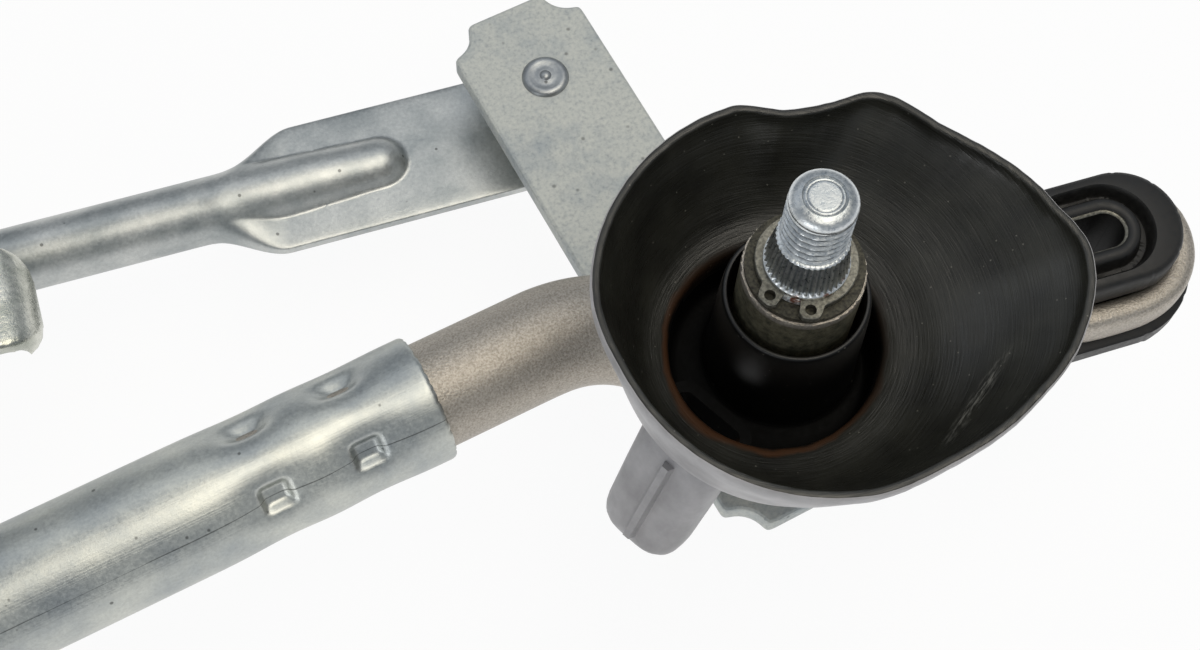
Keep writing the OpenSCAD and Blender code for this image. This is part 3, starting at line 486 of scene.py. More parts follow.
def dent_depth(along, turn):
    depth = np.zeros_like(turn)
    for station, angle in DENTS:
        u = along - station
        v = TUBE_R * ((turn - angle + pi) % (2 * pi) - pi)
        depth += SINK * np.exp(-(u / SINK_LONG) ** 2 - (v / SINK_WIDE) ** 2)
        if angle < pi:
            long, wide = np.abs(u / HOLLOW_LONG) ** HOLLOW_POWER, np.abs(v / HOLLOW_WIDE) ** HOLLOW_POWER
            depth += HOLLOW * np.exp(-long - wide)
        else:
            walls = [ease((POCKET_HALF - np.abs(t)) / POCKET_WALL) for t in (u, v)]
            depth += POCKET * walls[0] * walls[1]
    return depth


def tube_centre(along):
    direction = np.array([cos(LEG_TURN), sin(LEG_TURN)])
    if along <= LEG:
        return TUBE_END - along * direction, LEG_TURN
    turn = LEG_TURN - (along - LEG) / BOW_R
    middle = TUBE_END[1] - LEG * direction[1] + BOW_R * cos(LEG_TURN)
    return np.array([BOW_R * sin(turn), middle - BOW_R * cos(turn)]), turn


def frame_tube():
    turns = around(TUBE_STEPS)
    half = LEG + BOW_R * LEG_TURN
    stations = [0.0, 0.3, 0.7] + list(np.arange(1.2, 44, 0.5)) + list(np.linspace(44, LEG, 24))
    stations += list(np.linspace(LEG + 6, half, 10))
    ragged = 0.12 * np.sin(23 * turns) + 0.1 * np.sin(37 * turns + 1.0) + 0.08 * np.sin(61 * turns + 2.0)
    rows = {"outer": [], "inner": []}
    for side in SIDE:
        for along in stations if side == 1 else stations[-2::-1]:
            depth, edge = dent_depth(along, turns), 0.35 * max(0, 1 - along / 0.7) ** 2
            at, turn = tube_centre(along)
            front = np.array([sin(turn), -cos(turn)])
            for key, radius in (("outer", TUBE_R - edge - depth), ("inner", TUBE_IN - depth)):
                xy = at + np.outer(radius * -np.sin(turns), front)
                xy -= np.outer(np.clip(ragged, 0, 1) * max(0, 1 - along / 1.2), [-front[1], front[0]])
                rows[key].append(np.column_stack([side * xy[:, 0], xy[:, 1], radius * np.cos(turns)]))
    rings = rows["outer"] + rows["inner"][::-1]
    tube = mesh_of("crimped_frame_tube", rings, [tube_zinc], 50, loop=True, mirrored=True)
    layer = tube.data.uv_layers.new(name="around")
    length = stations + [2 * half - s for s in stations[-2::-1]]
    length += length[::-1]
    for face in tube.data.polygons:
        wraps = len({v % TUBE_STEPS for v in face.vertices} & {0, TUBE_STEPS - 1}) == 2
        for loop in face.loop_indices:
            row, column = divmod(tube.data.loops[loop].vertex_index, TUBE_STEPS)
            layer.data[loop].uv = (length[row] * MM, (column or TUBE_STEPS * wraps) / TUBE_STEPS)
    place(tube, "frame", "zinc_steel", "frame_tube")


frame_tube()

# %% [markdown]
# The water shield is a lopsided bowl. Its rim follows the bodywork, so the rim's radius is a smooth closed curve
# through a few measured points, and the wall at every angle is drawn between the collar, the well, the floor and
# that rim. A subdivision surface rounds the lip, and a slight raggedness stands for the moulding flash.

# %% Curve and section of the shield
RIM = [(-175, 35.8), (-141, 34.8), (-102, 32.8), (-79, 31.2), (-51, 32.7), (-31, 35.8), (-8, 38.5), (5, 36.4),
       (39, 32.9), (60, 34.6), (73, 31.7), (86, 31.2), (98, 34.4), (128, 36.1), (164, 37.2)]
DRAIN_TURN, RIM_Z, COLLAR_TOP, WELL_FLOOR, WALL = 210.0, 42.0, 38.6, 15.5, 2
WELL_R, WELL_SHIFT, SHIELD_STEPS, RIM_SHIFT = 16.2, 2.6, 240, (5.8, -2.5)


def rim_radius(angle):
    angle = (angle + 175) % 360 - 175
    knots = [(a - 360, r) for a, r in RIM] + RIM + [(a + 360, r) for a, r in RIM]
    i = max(k for k in range(len(knots)) if knots[k][0] <= angle)
    (a0, q), (a1, r) = knots[i], knots[i + 1]
    p, s, t = knots[i - 1][1], knots[i + 2][1], (angle - a0) / (a1 - a0)
    return q + 0.5 * t * (r - p + t * (2 * p - 5 * q + 4 * r - s + t * (3 * (q - r) + s - p)))


def shield_section(angle):
    lean, a = cos(radians(angle - DRAIN_TURN)), radians(angle)
    z, well, foot = 22 + 2.5 * (1 - lean), WELL_R + WELL_SHIFT * lean, 25.5 + 3.2 * lean
    flash = 0.02 * (sin(41 * a) + sin(73 * a + 1) + sin(97 * a + 2))
    r, deep = rim_radius(angle) + flash, RIM_Z - z

    def wall(share):
        return foot + (r - foot) * share

    inside = [
        (0, 10.2, 12.0), (0, 10.2, 25.0), (0, 10.2, COLLAR_TOP - 0.4), (0, 10.5, COLLAR_TOP), (0, 11.0, COLLAR_TOP),
        (0, 11.3, COLLAR_TOP - 0.4), (0, 11.45, COLLAR_TOP - 3), (0, 11.63, 32.6), (0, 11.85, 22.0), (0, 12.0, 17.0),
        (0, 12.4, WELL_FLOOR + 0.3), (0, 13.2, WELL_FLOOR), (0, well - 1.2, WELL_FLOOR), (0, well - 0.5, 16.3),
        (0, well - 0.2, 18.0), (0, well, z - 1.3), (0, well + 0.3, z - 0.45), (0, well + 1.2, z),
        (0.1, foot - 6.0, z + 0.7), (0.2, foot - 4.0, z + 1.5), (0.3, foot - WALL, z + 3.2),
        (0.6, wall(0.4) - WALL, z + deep * 0.36), (0.85, wall(0.8) - WALL, z + deep * 0.74),
        (1, r - 1.9, RIM_Z - 2.4), (1, r - 1.5, RIM_Z - 0.35), (1, r - 1.38, RIM_Z - 0.08 + flash),
        (1, r - 0.8, RIM_Z + flash), (1, r - 0.25, RIM_Z + flash),
    ]
    outside = [
        (1, r, RIM_Z - 0.3), (0.98, r, RIM_Z - 2.6), (0.85, wall(0.8), z + deep * 0.72),
        (0.6, wall(0.4), z + deep * 0.3), (0.3, foot, z + 0.6), (0.2, foot - 2, z - WALL), (0, well + 2.6, z - WALL),
        (0, well + 1.8, z - 3.4), (0, well + 1.8, 15.5), (0, well + 0.4, 13.5), (0, 13.2, 13.5), (0, 12.2, 12.9),
        (0, 12.2, 12.0),
    ]
    return inside, outside


print("rim radius at the front and the back:", round(rim_radius(-90), 1), round(rim_radius(90), 1))

# %% [markdown]
# The drain spout hangs below the well and leans outwards. It is a flat bar with round corners that narrows
# downwards, hollowed by the same bar grown inwards, and it carries one thin rib on its outer face. The bar is added
# to the bowl by a boolean, then the well is cleared of it and the drain is cut through the well's wall.

# %% Shape of the spout
SPOUT_W, SPOUT_D, SPOUT_LEN, SPOUT_TOP, SPOUT_MID, SPOUT_LEAN = 16.0, 9.0, 25.0, 20.8, 19.8, radians(28)
SPOUT_WALL, SPOUT_CORNER, END_ROUND = 1.6, 3.4, 4.0


def from_drain(side, out, y, up):
    c, s = cos(radians(DRAIN_TURN)), sin(radians(DRAIN_TURN))
    return PIVOT[side] + np.array([side * (out * c - y * s), out * s + y * c, up])


def to_spout(side, x, y, z):
    out = SPOUT_MID + x * cos(SPOUT_LEAN) - z * sin(SPOUT_LEAN)
    return from_drain(side, out, y, SPOUT_TOP + z * cos(SPOUT_LEAN) + x * sin(SPOUT_LEAN))


def spout_ring(side, grow, narrow, z):
    ring, corner = [], SPOUT_CORNER + grow
    for k, (sx, sy) in enumerate(((1, 1), (-1, 1), (-1, -1), (1, -1))):
        for step in range(8):
            turn = radians(90 * k + 90 * step / 7)
            x = sx * (SPOUT_D / 2 + grow - corner) + corner * cos(turn)
            y = sy * (SPOUT_W / 2 + grow - narrow - corner) + corner * sin(turn)
            ring.append(to_spout(side, x, y, -x * tan(SPOUT_LEAN) if z is None else z))
    return ring


print("spout ends at height", round(float(to_spout(1, 0, 0, -SPOUT_LEN)[2]), 1), "mm")

# %% The water shields
WET_R, WET_FROM, SHADE_TOP, SHADE_R = 17.3, 14.8, 21, 12.5


def water_shield(side):
    sections, flip = [], side < 0
    for angle in np.linspace(-175, 185, SHIELD_STEPS, endpoint=False):
        inside, outside = shield_section(angle)
        c, s = cos(radians(angle)), sin(radians(angle))
        ring = [(side * (share * RIM_SHIFT[0] + r * c), share * RIM_SHIFT[1] + r * s, z)
                for share, r, z in inside + outside]
        sections.append(np.array(ring) + PIVOT[side])
    shield = mesh_of("water_shield_bowl_" + SIDE[side], sections, [black_plastic, reflection_grey_plastic, well_shade_plastic], 60, loop=True,
                     mirrored=flip)
    # Faces of the outside take the pale painted reflection of the table.
    for index, face in enumerate(shield.data.polygons):
        face.material_index = int(index % len(sections[0]) >= len(inside) - 1)
    lip = shield.modifiers.new("round_lip", "SUBSURF")
    lip.levels = lip.render_levels = 1
    settled(shield, 50)
    bar = []
    for up in (0.0, 0.15, 0.5, 1.2, 2.2, END_ROUND):
        arch = END_ROUND - sqrt(max(END_ROUND ** 2 - (up - END_ROUND) ** 2, 0))
        bar.append(spout_ring(side, -0.5 * max(0, 1 - up / 0.8), 0.7 + 0.6 * arch, up - SPOUT_LEN))
    bar += [spout_ring(side, 0, 0.35, -SPOUT_LEN / 2), spout_ring(side, 0, 0, None)]
    # The spout and its rib take the painted table reflection as well.
    cut(shield, bar, 50, "UNION", finish=1, mirrored=flip)
    rib = [[to_spout(side, x, y, z) for x, y in ((4.0, -1.1), (5.9, -0.6), (5.9, 0.6), (4.0, 1.1))]
           for z in (-SPOUT_LEN + 1.8, -6.0)]
    cut(shield, rib, 50, "UNION", finish=1, mirrored=flip)
    turns = around(72)
    edges = ((WELL_SHIFT, 15.6, 16.5), (WELL_SHIFT, 16.15, 21.2), (0, 13.0, 21.2), (0, 13.0, 16.5))
    room = [[from_drain(side, shift + r * cos(t), r * sin(t), z) for t in turns] for shift, r, z in edges]
    cut(shield, room, 50, loop=True, mirrored=not flip)
    bore = [spout_ring(side, -SPOUT_WALL, 0.6, -SPOUT_LEN - 1), spout_ring(side, -SPOUT_WALL, 0.2, None)]
    cut(shield, bore, 50, mirrored=flip)
    middle = from_drain(side, WELL_SHIFT, 0, 0)
    # Faces deep in the well take the near-black painted shade. The collar keeps the plain plastic.
    for face in shield.data.polygons:
        at = np.array(face.center) / MM
        if hypot(*(at - middle)[:2]) < WET_R and at[2] > WET_FROM:
            face.material_index = 2 * (at[2] < SHADE_TOP and hypot(*(at - PIVOT[side])[:2]) > SHADE_R)
    place(shield, "frame", "black_plastic", "water_shield_" + SIDE[side])


for side in SIDE:
    water_shield(side)

# %% [markdown]
# The pivot shaft is one turned bar. Its post has a rolled thread for the arm's nut, and below it a tapered ring of
# rolled teeth that bites into the arm. Both follow a rule round the bar, so a node tree presses them into the plain
# bar: a vee that climbs by the pitch each turn, and a ripple with one wave per tooth. The tree's sums are a table:
# each row names its result, the operation and the terms, by name or as numbers. CLAMPED ones stay in 0 to 1.

# %% Node tree for the thread and the teeth
SUMS = [
    ("x", "SUBTRACT", "at_x", "Axis X"), ("y", "SUBTRACT", "at_y", "Axis Y"),
    ("angle", "ARCTAN2", "y", "x"), ("turn", "DIVIDE", "angle", 2 * pi),
    ("rise", "DIVIDE", "at_z", "Pitch"), ("climb", "SUBTRACT", "rise", "turn"), ("saw", "FRACT", "climb"),
    ("tent", "MULTIPLY_ADD", "saw", 2.0, -1.0), ("flank", "ABSOLUTE", "tent"),
    ("vee", "MULTIPLY_ADD", "flank", 1.35, -0.2),
    ("above", "SUBTRACT", "at_z", "Thread Foot"), ("below", "SUBTRACT", "Thread Top", "at_z"),
    ("foot_in", "DIVIDE", "above", 0.0006), ("top_in", "DIVIDE", "below", 0.001),
    ("run_in", "MINIMUM", "foot_in", "top_in"), ("thread", "MULTIPLY", "vee", "run_in"),
    ("thread_in", "MULTIPLY", "thread", "Thread Depth"), ("pace", "MULTIPLY", "turn", "Teeth"),
    ("step", "FRACT", "pace"), ("wave", "MULTIPLY_ADD", "step", 2.0, -1.0), ("ridge", "ABSOLUTE", "wave"),
    ("over", "SUBTRACT", "at_z", "Taper Foot"), ("under", "SUBTRACT", "Taper Top", "at_z"),
    ("low_in", "DIVIDE", "over", 0.0004), ("high_in", "DIVIDE", "under", 0.0004),
    ("bite_in", "MINIMUM", "low_in", "high_in"), ("tooth", "MULTIPLY", "ridge", "bite_in"),
    ("tooth_in", "MULTIPLY", "tooth", "Tooth Depth"), ("depth", "ADD", "thread_in", "tooth_in"),
    ("inward", "MULTIPLY", "depth", -1.0), ("shade", "MULTIPLY", "tooth", 0.6),
    ("groove", "MAXIMUM", "thread", "shade"),
]
CLAMPED = ("vee", "run_in", "bite_in")
ROLLED = {"Pitch": 0.0015, "Thread Depth": 0.00085, "Thread Foot": 0.0576, "Thread Top": 0.0668, "Teeth": 40.0,
          "Tooth Depth": 0.0005, "Taper Foot": 0.0496, "Taper Top": 0.0568}


def rolled_surface():
    tree = bpy.data.node_groups.new("rolled_surface", "GeometryNodeTree")
    node, face, inputs = partial(add, tree), tree.interface, {}
    for way in ("INPUT", "OUTPUT"):
        face.new_socket("Geometry", in_out=way, socket_type="NodeSocketGeometry")
    for name in ("Axis X", "Axis Y", *ROLLED, "Finish"):
        kind = "NodeSocketMaterial" if name == "Finish" else "NodeSocketFloat"
        inputs[name] = face.new_socket(name, in_out="INPUT", socket_type=kind).identifier
    given = node("NodeGroupInput").outputs
    spot = node("SeparateXYZ", [node("GeometryNodeInputPosition")]).outputs
    known = {name: given[name] for name in inputs} | {"at_x": spot[0], "at_y": spot[1], "at_z": spot[2]}
    for result, operation, *terms in SUMS:
        terms = [known[t] if isinstance(t, str) else t for t in terms]
        known[result] = node("Math", terms, op=operation, use_clamp=result in CLAMPED).outputs[0]
    unit = node("VectorMath", [node("CombineXYZ", [known["x"], known["y"]])], op="NORMALIZE")
    push = node("VectorMath", {0: unit, "Scale": known["inward"]}, op="SCALE")
    # The groove depth is stored for the shaft's material, which paints shade with it.
    noted = node("GeometryNodeStoreNamedAttribute", {"Geometry": given["Geometry"], "Name": "groove",
                 "Value": known["groove"]}, data_type="FLOAT", domain="POINT")
    moved = node("GeometryNodeSetPosition", {"Geometry": noted, "Offset": push})
    real = node("GeometryNodeRealizeInstances", [moved])
    painted = node("GeometryNodeSetMaterial", {"Geometry": real, "Material": given["Finish"]})
    node("NodeGroupOutput", [painted])
    return tree, inputs


roll_tree, roll_inputs = rolled_surface()
print("node tree with", len(roll_tree.nodes), "nodes")

# %% The pivot shafts
def pivot_shaft(side):
    foot = [(0.5, -19.3), (5.0, -19.3), (5.6, -18.6), (6.1, -17.72), (5.0, -17.7), (5.0, -13.7), (6.5, -13.7),
            (6.5, 47.66), (6.0, 47.66), (6.0, 48.94), (6.3, 48.94), (6.3, 49.5), (6.34, 49.6)]
    taper = [(6.3 - 0.9 * t, 49.65 + 7.0 * t) for t in np.linspace(0, 1, 20)]
    post = [(5.1, 56.85), (4.4, 56.95), (4.4, 57.25), (4.9, 57.5)] + [(5.0, z) for z in np.arange(57.6, 66.8, 0.1)]
    tip = [(4.95, 67.05), (4.8, 67.4), (4.5, 67.8), (4.1, 68.08), (3.6, 68.28), (3.2, 68.36), (3.0, 68.22),
           (2.8, 68.38), (2.6, 68.4), (2.45, 68.34), (2.3, 68.42), (2.2, 68.44), (2.0, 68.44), (1.2, 68.45),
           (0.3, 68.45)]
    shaft = mesh_of("threaded_pivot_shaft_" + SIDE[side], turned(foot + taper + post + tip, PIVOT[side], 200),
                    [shaft_zinc], 30)
    roll = shaft.modifiers.new("rolled", "NODES")
    roll.node_group = roll_tree
    place_at = {"Axis X": PIVOT[side][0] * MM, "Axis Y": PIVOT[side][1] * MM}
    for key, value in (ROLLED | place_at | {"Finish": shaft_zinc}).items():
        roll[roll_inputs[key]] = value
    settled(shaft, 35)
    place(shaft, "pivot_" + SIDE[side], "zinc_steel", "pivot_shaft_" + SIDE[side])


for side in SIDE:
    pivot_shaft(side)

# %% [markdown]
# The retaining ring is stamped from spring steel. It is widest opposite its gap, thins towards it and ends in
# two lugs, each with a hole for the pliers. A row of square sections makes it, then the holes are punched.

# %% The retaining rings
RING_GAP, GAP_HALF, RING_R, BACK_SWELL = 231.0, 12.0, 7.55, 0.35
LUG_TURN, LUG_WIDE, LUG_AT, LUG_REACH, LUG_HOLE = 23.5, 13.5, 7.75, 1.95, 0.85


def retaining_ring(side):
    rings = []
    for away in np.linspace(GAP_HALF, 360 - GAP_HALF, 169):
        near = min(away, 360 - away)
        lug = exp(-((near - LUG_TURN) / LUG_WIDE) ** 4)
        outer = RING_R - BACK_SWELL * cos(radians(away)) + LUG_REACH * lug
        turn = radians(RING_GAP + away)
        c, s = cos(turn), sin(turn)
        section = ((6.06, 47.75), (outer - 0.1, 47.72), (outer, 47.82), (outer, 48.75), (outer - 0.12, 48.88),
                   (6.16, 48.88), (6.06, 48.8))
        ring = [(r * c * side, r * s, z) for r, z in section]
        rings.append(np.array(ring) + PIVOT[side])
    clip = mesh_of("retaining_ring_" + SIDE[side], rings, [phosphated], 35, mirrored=side < 0)
    for way in (-1, 1):
        turn = radians(RING_GAP + way * LUG_TURN)
        at = PIVOT[side] + np.array([side * LUG_AT * cos(turn), LUG_AT * sin(turn), 48.3])
        cut(clip, turned([(LUG_HOLE, -2), (LUG_HOLE, 2)], at, 32), 35)
    place(clip, "pivot_" + SIDE[side], "dark_steel", "circlip_" + SIDE[side])


for side in SIDE:
    retaining_ring(side)


# %% [markdown]
# A link rod is a round tube with its ends pressed flat. The press leaves a rounded bulge that tapers into the
# plate, and the plate reaches a little further along one edge. At each station the section is a flat plate joined
# smoothly to a circle, so the skin's rings are drawn between two height curves, one above and one below.

# %% The link rods
ROD_R, FLAT_W, FLAT_T, FLAT_LEN, BULGE, BULGE_R = 6.35, 26.0, 3.0, 55.0, 28.0, 5.4
ROD_STEPS, SOCKET_R = 88, 8.92


def soft_max(a, b, blend):
    h = np.clip(0.5 + 0.5 * (a - b) / blend, 0, 1)
    return b + (a - b) * h + blend * h * (1 - h)


def rod_half_section(x):
    phi = np.linspace(-pi / 2, pi / 2, ROD_STEPS)
    skew = 3.0 * (1 - np.sin(phi))
    flare = ease((FLAT_LEN + 8 + skew - x) / 15)
    half = ROD_R + (FLAT_W / 2 - ROD_R) * flare
    if x < 0:
        half = sqrt(max((FLAT_W / 2) ** 2 - x * x, 0.01))
    y = half * np.sin(phi)
    plate = np.cos(phi) ** (1 - 0.72 * flare) * (ROD_R + (FLAT_T / 2 - ROD_R) * flare)
    ridge = BULGE_R + (ROD_R - BULGE_R) * ease((x - BULGE) / (FLAT_LEN - BULGE))
    nose = min(x - BULGE - ridge, 0)
    reach = sqrt(max(ridge ** 2 - nose ** 2, 0)) if x > BULGE else 0
    top = soft_max(np.sqrt(np.clip(reach ** 2 - y ** 2, 0, None)), plate, 1.4)
    fade = ease((x - FLAT_LEN - 3 - skew) / 7)
    return y, top * (1 - fade) + ROD_R * np.cos(phi) * fade


def link_rod(name, node, body, length, start):
    fine = list(np.arange(-12.9, 74, 0.6))
    stations = fine + list(np.linspace(78, length - 78, 12)) + [length - x for x in reversed(fine)]
    rings = []
    for x in stations:
        y, top = rod_half_section(min(x, length - x))
        upper = [(x, b, t) for b, t in zip(y, top)]
        lower = [(x, b, -t) for b, t in zip(y[-2:0:-1], top[-2:0:-1])]
        rings.append(np.array(upper + lower) + start)
    rod = mesh_of(name, rings, [rod_zinc], 75)
    for x in (0, length):
        cut(rod, turned([(SOCKET_R, -6), (SOCKET_R, 6)], start + [x, 0, 0], 64), 60)
    place(rod, body, "zinc_steel", node)


LEFT_BALL = np.array([-274.84, 69.80, 0.0])
link_rod("pressed_coupler_rod", "coupler_rod", "coupler_link", 520.0, LEFT_BALL + [0, 0, -30.7])
link_rod("pressed_drive_rod", "drive_rod", "drive_link", 355.0, LEFT_BALL + [0, 0, -47.7])

# %% [markdown]
# A grommet is a rubber bobbin gripped by the ear of the casting, round a steel sleeve for the bolt. Its plan is an
# obround, the outline of a slot, so a half profile is swept round that outline. Its lip hides most of the sleeve.
# The mould left a few upright lines, and trimming by hand left the wide lower flange wavy.

# %% The rubber grommets and their sleeves
SLOT_STEPS = 240


def slot_rings(profile, centre, straight):
    rings = []
    for r, z, *longer in profile:
        ring = []
        for turn in around(SLOT_STEPS):
            c, s = cos(turn), sin(turn)
            end = (straight + sum(longer)) / 2 * np.sign(round(c, 9))
            reach = r - 0.12 * max(0, cos(9 * turn + 0.5) - 0.93) / 0.07 * (r > 10)
            ring.append((end + reach * c, reach * s, z(turn) if callable(z) else z))
        rings.append(np.array(ring) + centre)
    return rings


def trimmed(turn):
    return 0.5 * cos(5 * turn + 0.6) + 0.45 * cos(13 * turn + 2.0) + 0.12 * cos(29 * turn)


def grommet(place_name, centre, half, straight, neck, top_r, low_r, longer):
    inner = [(5.32, -0.8), (3.9, -0.78), (3.7, -0.5), (4.0, -0.12), (4.8, 0), (5.5, -0.15), (5.95, -0.7), (6.2, -2.9),
             (6.5, -3.2), (7.5, -3.2), (7.8, -2.9), (8.1, -0.7), (8.5, -0.2)]
    upper = [(top_r - 1.2, half - 0.25), (top_r - 0.4, half - 0.6), (top_r, half - 1.5), (top_r, neck + 0.5),
             (top_r - 0.4, neck + 0.15)]
    lower = [(low_r - 0.4, -neck - 0.12), (low_r, -neck - 0.5), (low_r, lambda t: -half + 1.9 + trimmed(t)),
             (low_r - 0.6, lambda t: -half + 1.2 + trimmed(t))]
    below = [(9.0, 1.8), (6.9, 1.8), (6.4, 0.1), (5.6, 0.1)]
    profile = [(5.32, -half + 0.8)] + [(r, half + z) for r, z in inner] + [(*p, longer) for p in upper]
    profile += [(9.7, neck + 0.1), (9.7, -neck - 0.1)] + [(*p, longer) for p in lower]
    profile += [(9.6, lambda t: -half + 0.8 + trimmed(t))] + [(r, -half + z) for r, z in below]
    bobbin = mesh_of("bobbin_grommet_" + place_name, slot_rings(profile, centre, straight), [rubber], 45, loop=True,
                     mirrored=True)
    place(bobbin, "frame", "black_rubber", "grommet_" + place_name)
    tube = [(3.3, -half + 0.3), (3.3, half - 1.1), (3.6, half - 0.82), (5.0, half - 0.82), (5.28, half - 1.1),
            (5.28, -half + 0.3), (5.0, -half), (3.6, -half)]
    sleeve = mesh_of("bolt_sleeve_" + place_name, slot_rings(tube, centre, straight), [black_oxide, phosphated],
                     45, loop=True, mirrored=True)
    for index, face in enumerate(sleeve.data.polygons):
        face.material_index = int(SLOT_STEPS <= index < 3 * SLOT_STEPS)
    place(sleeve, "frame", "dark_steel", "mount_sleeve_" + place_name)


for side in SIDE:
    grommet(SIDE[side], np.array([side * 320.5, 0, 0]), 10.0, 5.0, 4.0, 10.5, 15.5, 6.4)
grommet("middle", np.array([95.0, 108.0, 7.5]), 7.5, 0.0, 1.5, 12.3, 12.3, 0.0)

# %% [markdown]
# The housings are die castings, and metal that was poured has no sharp edge outside its machined faces. A welded
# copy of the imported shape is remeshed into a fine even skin, the ear is drawn out a little and narrowed at its back,
# and the skin is relaxed, except round the pivot's axis, where the bores stay true.

# %% The die-cast housings
EAR_ROOT, EAR_RUN, EAR_REACH = 312.0, 22.0, 3.0
BACK_ROOT, BACK_RUN, BACK_SHARE, TRUE_R = 296, 16, 0.14, 11


def even_copy(node, name):
    copy = stand(name, nodes[node].data.copy())
    copy.modifiers.new("weld", "WELD").merge_threshold = 1e-6
    settled(copy, 40)
    even = copy.modifiers.new("even", "REMESH")
    even.mode, even.voxel_size = "VOXEL", 0.5 * MM
    settled(copy, 40)
    return copy


def relax(piece, times, group=""):
    soften = piece.modifiers.new("soften", "SMOOTH")
    soften.factor, soften.iterations, soften.vertex_group = 0.5, times, group
    settled(piece, 40)


def cast_housing(side):
    node = "pivot_housing_" + SIDE[side]
    housing = even_copy(node, "die_cast_housing_" + SIDE[side])
    at = np.empty(3 * len(housing.data.vertices))
    housing.data.vertices.foreach_get("co", at)
    at = at.reshape(-1, 3)
    outward = ease((side * at[:, 0] / MM - EAR_ROOT) / EAR_RUN)
    at[:, 0] += side * EAR_REACH * MM * outward
    at[:, 1] *= 1 - BACK_SHARE * ease((side * at[:, 0] / MM - BACK_ROOT) / BACK_RUN) * (at[:, 1] > 0)
    housing.data.vertices.foreach_set("co", at.ravel())
    from_axis = np.hypot(*(at[:, :2] - PIVOT[side][:2] * MM).T)
    skin_group = housing.vertex_groups.new(name="cast_skin")
    skin_group.add(np.flatnonzero(from_axis > TRUE_R * MM).tolist(), 1.0, "REPLACE")
    relax(housing, 110, skin_group.name)
    housing.vertex_groups.clear()
    place(housing, "frame", "cast_aluminium", node)


for side in SIDE:
    cast_housing(side)

# %% [markdown]
# The crank is blanked from 4 mm plate with a bite out of each corner. Its outline is drawn as a row of points that
# is averaged a little, as a worn punch rounds its corners, and the edge is rolled over in a few thin rings.

# %% The crank arms
CRANK_TURN, CRANK_LEN, CRANK_OVER, CRANK_HALF, BITE = radians(100.8), 79.2, 17.0, 13.5, 5.5
CRANK_TOP, CRANK_FOOT = -13.7, -17.7


def crank_outline():
    ends, path = (-CRANK_OVER, CRANK_LEN + CRANK_OVER), []
    for x, y, start in ((ends[1], -CRANK_HALF, 180), (ends[1], CRANK_HALF, 270), (ends[0], CRANK_HALF, 360),
                        (ends[0], -CRANK_HALF, 90)):
        for turn in np.radians(np.linspace(start, start - 90, 24)):
            path.append((x + BITE * cos(turn), y + BITE * sin(turn)))
    path = np.array(path + path[:1])
    steps = np.concatenate([[0], np.cumsum(np.hypot(*np.diff(path, axis=0).T))])
    even = np.linspace(0, steps[-1], 720, endpoint=False)
    outline = np.column_stack([np.interp(even, steps, path[:, k]) for k in (0, 1)])
    for _ in range(10):
        outline = (np.roll(outline, 1, 0) + 2 * outline + np.roll(outline, -1, 0)) / 4
    return outline


def crank_arm(side):
    outline = crank_outline()
    along = np.roll(outline, -1, 0) - np.roll(outline, 1, 0)
    inward = np.column_stack([-along[:, 1], along[:, 0]]) / np.hypot(*along.T)[:, None]
    c, s = cos(CRANK_TURN), sin(CRANK_TURN)
    rings = []
    for inset, z in ((0.5, CRANK_FOOT), (0.12, CRANK_FOOT + 0.15), (0, CRANK_FOOT + 0.6), (0, CRANK_TOP - 0.7),
                     (0.15, CRANK_TOP - 0.2), (0.6, CRANK_TOP)):
        x, y = (outline + inset * inward).T
        rings.append(np.column_stack([c * x - s * y, s * x + c * y, np.full(len(x), z)]) + PIVOT[side])
    crank = mesh_of("blanked_crank_" + SIDE[side], rings, [crank_zinc], 15)
    for reach, hole in ((0, 5.04), (CRANK_LEN, 4.04)):
        at = PIVOT[side] + np.array([reach * c, reach * s, CRANK_TOP])
        cut(crank, turned([(hole, -6), (hole, 2)], at, 64), 15)
    place(crank, "pivot_" + SIDE[side], "zinc_crank", "crank_arm_" + SIDE[side])


for side in SIDE:
    crank_arm(side)

# %% [markdown]
# The ball stud is turned, pushed through the crank and riveted over. The riveting tool leaves a low head with
# rings round a bright point. The left stud carries a second ball for the drive rod.

# %% The riveted ball studs
BALL_R, SHANK_R = 6.5, 4.0
RIVET_HEAD = [(SHANK_R, 0.01), (4.45, 0.02), (4.3, 0.35), (3.9, 0.7), (3.4, 0.82), (3.0, 0.78), (2.4, 0.6),
              (1.8, 0.62), (1.4, 0.72), (1.1, 0.72), (0.9, 1.0), (0.5, 1.2), (0.1, 1.25)]


def ball_stud(name, node, body, side, balls):
    at = PIVOT[side] + CRANK_LEN * np.array([cos(CRANK_TURN), sin(CRANK_TURN), 0])
    profile, neck = [], asin(SHANK_R / BALL_R)
    for index, z in enumerate(balls):
        for turn in np.linspace(neck if index else 0.05, pi - neck, 24):
            profile.append((BALL_R * sin(turn), z - BALL_R * cos(turn)))
    profile += [(SHANK_R, CRANK_FOOT - 2.0), (6.1, CRANK_FOOT - 2.0), (6.4, CRANK_FOOT - 1.7),
                (6.4, CRANK_FOOT - 0.05), (SHANK_R, CRANK_FOOT - 0.04)]
    profile += [(r, CRANK_TOP + z) for r, z in RIVET_HEAD]
    stud = mesh_of(name, turned(profile, at, 72), [turned_zinc], 35)
    place(stud, body, "zinc_steel", node)


ball_stud("riveted_ball_stud_right", "ball_stud_right", "pivot_right", 1, (-30.7,))
ball_stud("riveted_double_stud_left", "double_ball_stud_left", "pivot_left", -1, (-47.7, -30.7))

# %% [markdown]
# The motor bracket is pressed sheet. Sheet never has knife edges: the press rounds one side and the plating builds
# up on the other. A bevel could do it, but it folds over where holes lie close to an edge, so a welded copy of the
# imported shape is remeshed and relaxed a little, which gives the thin bright line along every edge.

# %% The motor bracket
bracket = even_copy("motor_bracket", "pressed_motor_bracket")
relax(bracket, 12)
place(bracket, "frame", "zinc_steel", "motor_bracket")

# %% [markdown]
# The stage is a plain white table under soft light, as a catalogue photograph has. The table shows white to the
# camera and in reflections, and still takes the linkage's shadow.

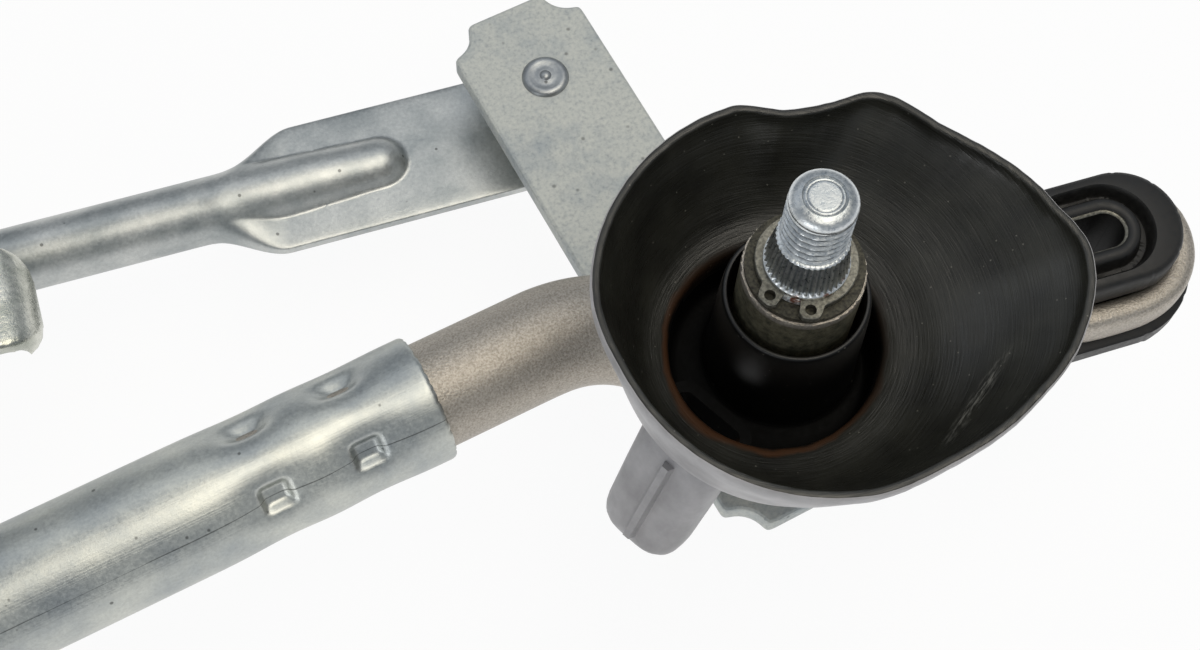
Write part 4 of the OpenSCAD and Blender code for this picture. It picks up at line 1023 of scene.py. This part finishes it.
# %% Table and backdrop
def white_table():
    material, node = blank("white_table", "ffffff", Roughness=0.9)
    path = node("LightPath").outputs
    seen = path["Is Camera Ray"]
    for kind in ("Is Glossy Ray", "Is Transmission Ray"):
        seen = node("Math", [seen, path[kind]], op="MAXIMUM")
    share = node("Math", [seen, 0.92], op="MULTIPLY")
    glow = node("Emission", {"Color": linear("ffffff"), "Strength": 1.0})
    parts = material.node_tree.nodes
    feed(parts["Material Output"], {"Surface": node("MixShader", [share, parts["Principled BSDF"], glow])})
    return material


half, drop = 30.0, cad_box[0][2] - 0.004
table = bpy.data.meshes.new("table")
corners = [(-half, -half, drop), (half, -half, drop), (half, half, drop), (-half, half, drop)]
table.from_pydata(corners, [], [(0, 1, 2, 3)])
table.materials.append(white_table())
floor = stand("table", table)
print("table at", round(drop, 4))

# %% [markdown]
# The tube in the photograph shows one bright band that faces straight up, a dark band on either side of it, and a
# pale band below that mirrors the table. So there is one soft light overhead in a dim room, a small one low at
# the front left, which lights the back wall of the bowl, and a wide dim one behind, which the flats mirror.

# %% Soft studio light
scene.view_settings.view_transform = "Standard"
world = bpy.data.worlds.new("studio")
world.use_nodes = True
feed(world.node_tree.nodes["Background"], {"Color": linear("c9cfd6"), "Strength": 0.58})
scene.world = world


def softbox(name, place_at, aim, size, watts, colour):
    lamp = bpy.data.lights.new(name, "AREA")
    lamp.shape, lamp.size, lamp.size_y, lamp.energy = "RECTANGLE", *size, watts
    lamp.color = linear(colour)[:3]
    box = stand(name, lamp)
    box.location = place_at
    box.rotation_euler = (Vector(aim) - Vector(place_at)).to_track_quat("-Z", "Y").to_euler()


softbox("overhead_box", (0.4, -0.06, 0.85), (0.36, -0.03, 0.0), (0.75, 0.45), 3.3, "fff6e6")
softbox("low_front_box", (-0.4, -0.57, 0.25), (0.28, 0.01, 0.04), (0.5, 0.3), 1.3, "ffffff")
softbox("back_box", (0.15, 0.52, 0.78), (0.15, 0.0, 0.0), (1.6, 0.45), 1.3, "f4f8ff")
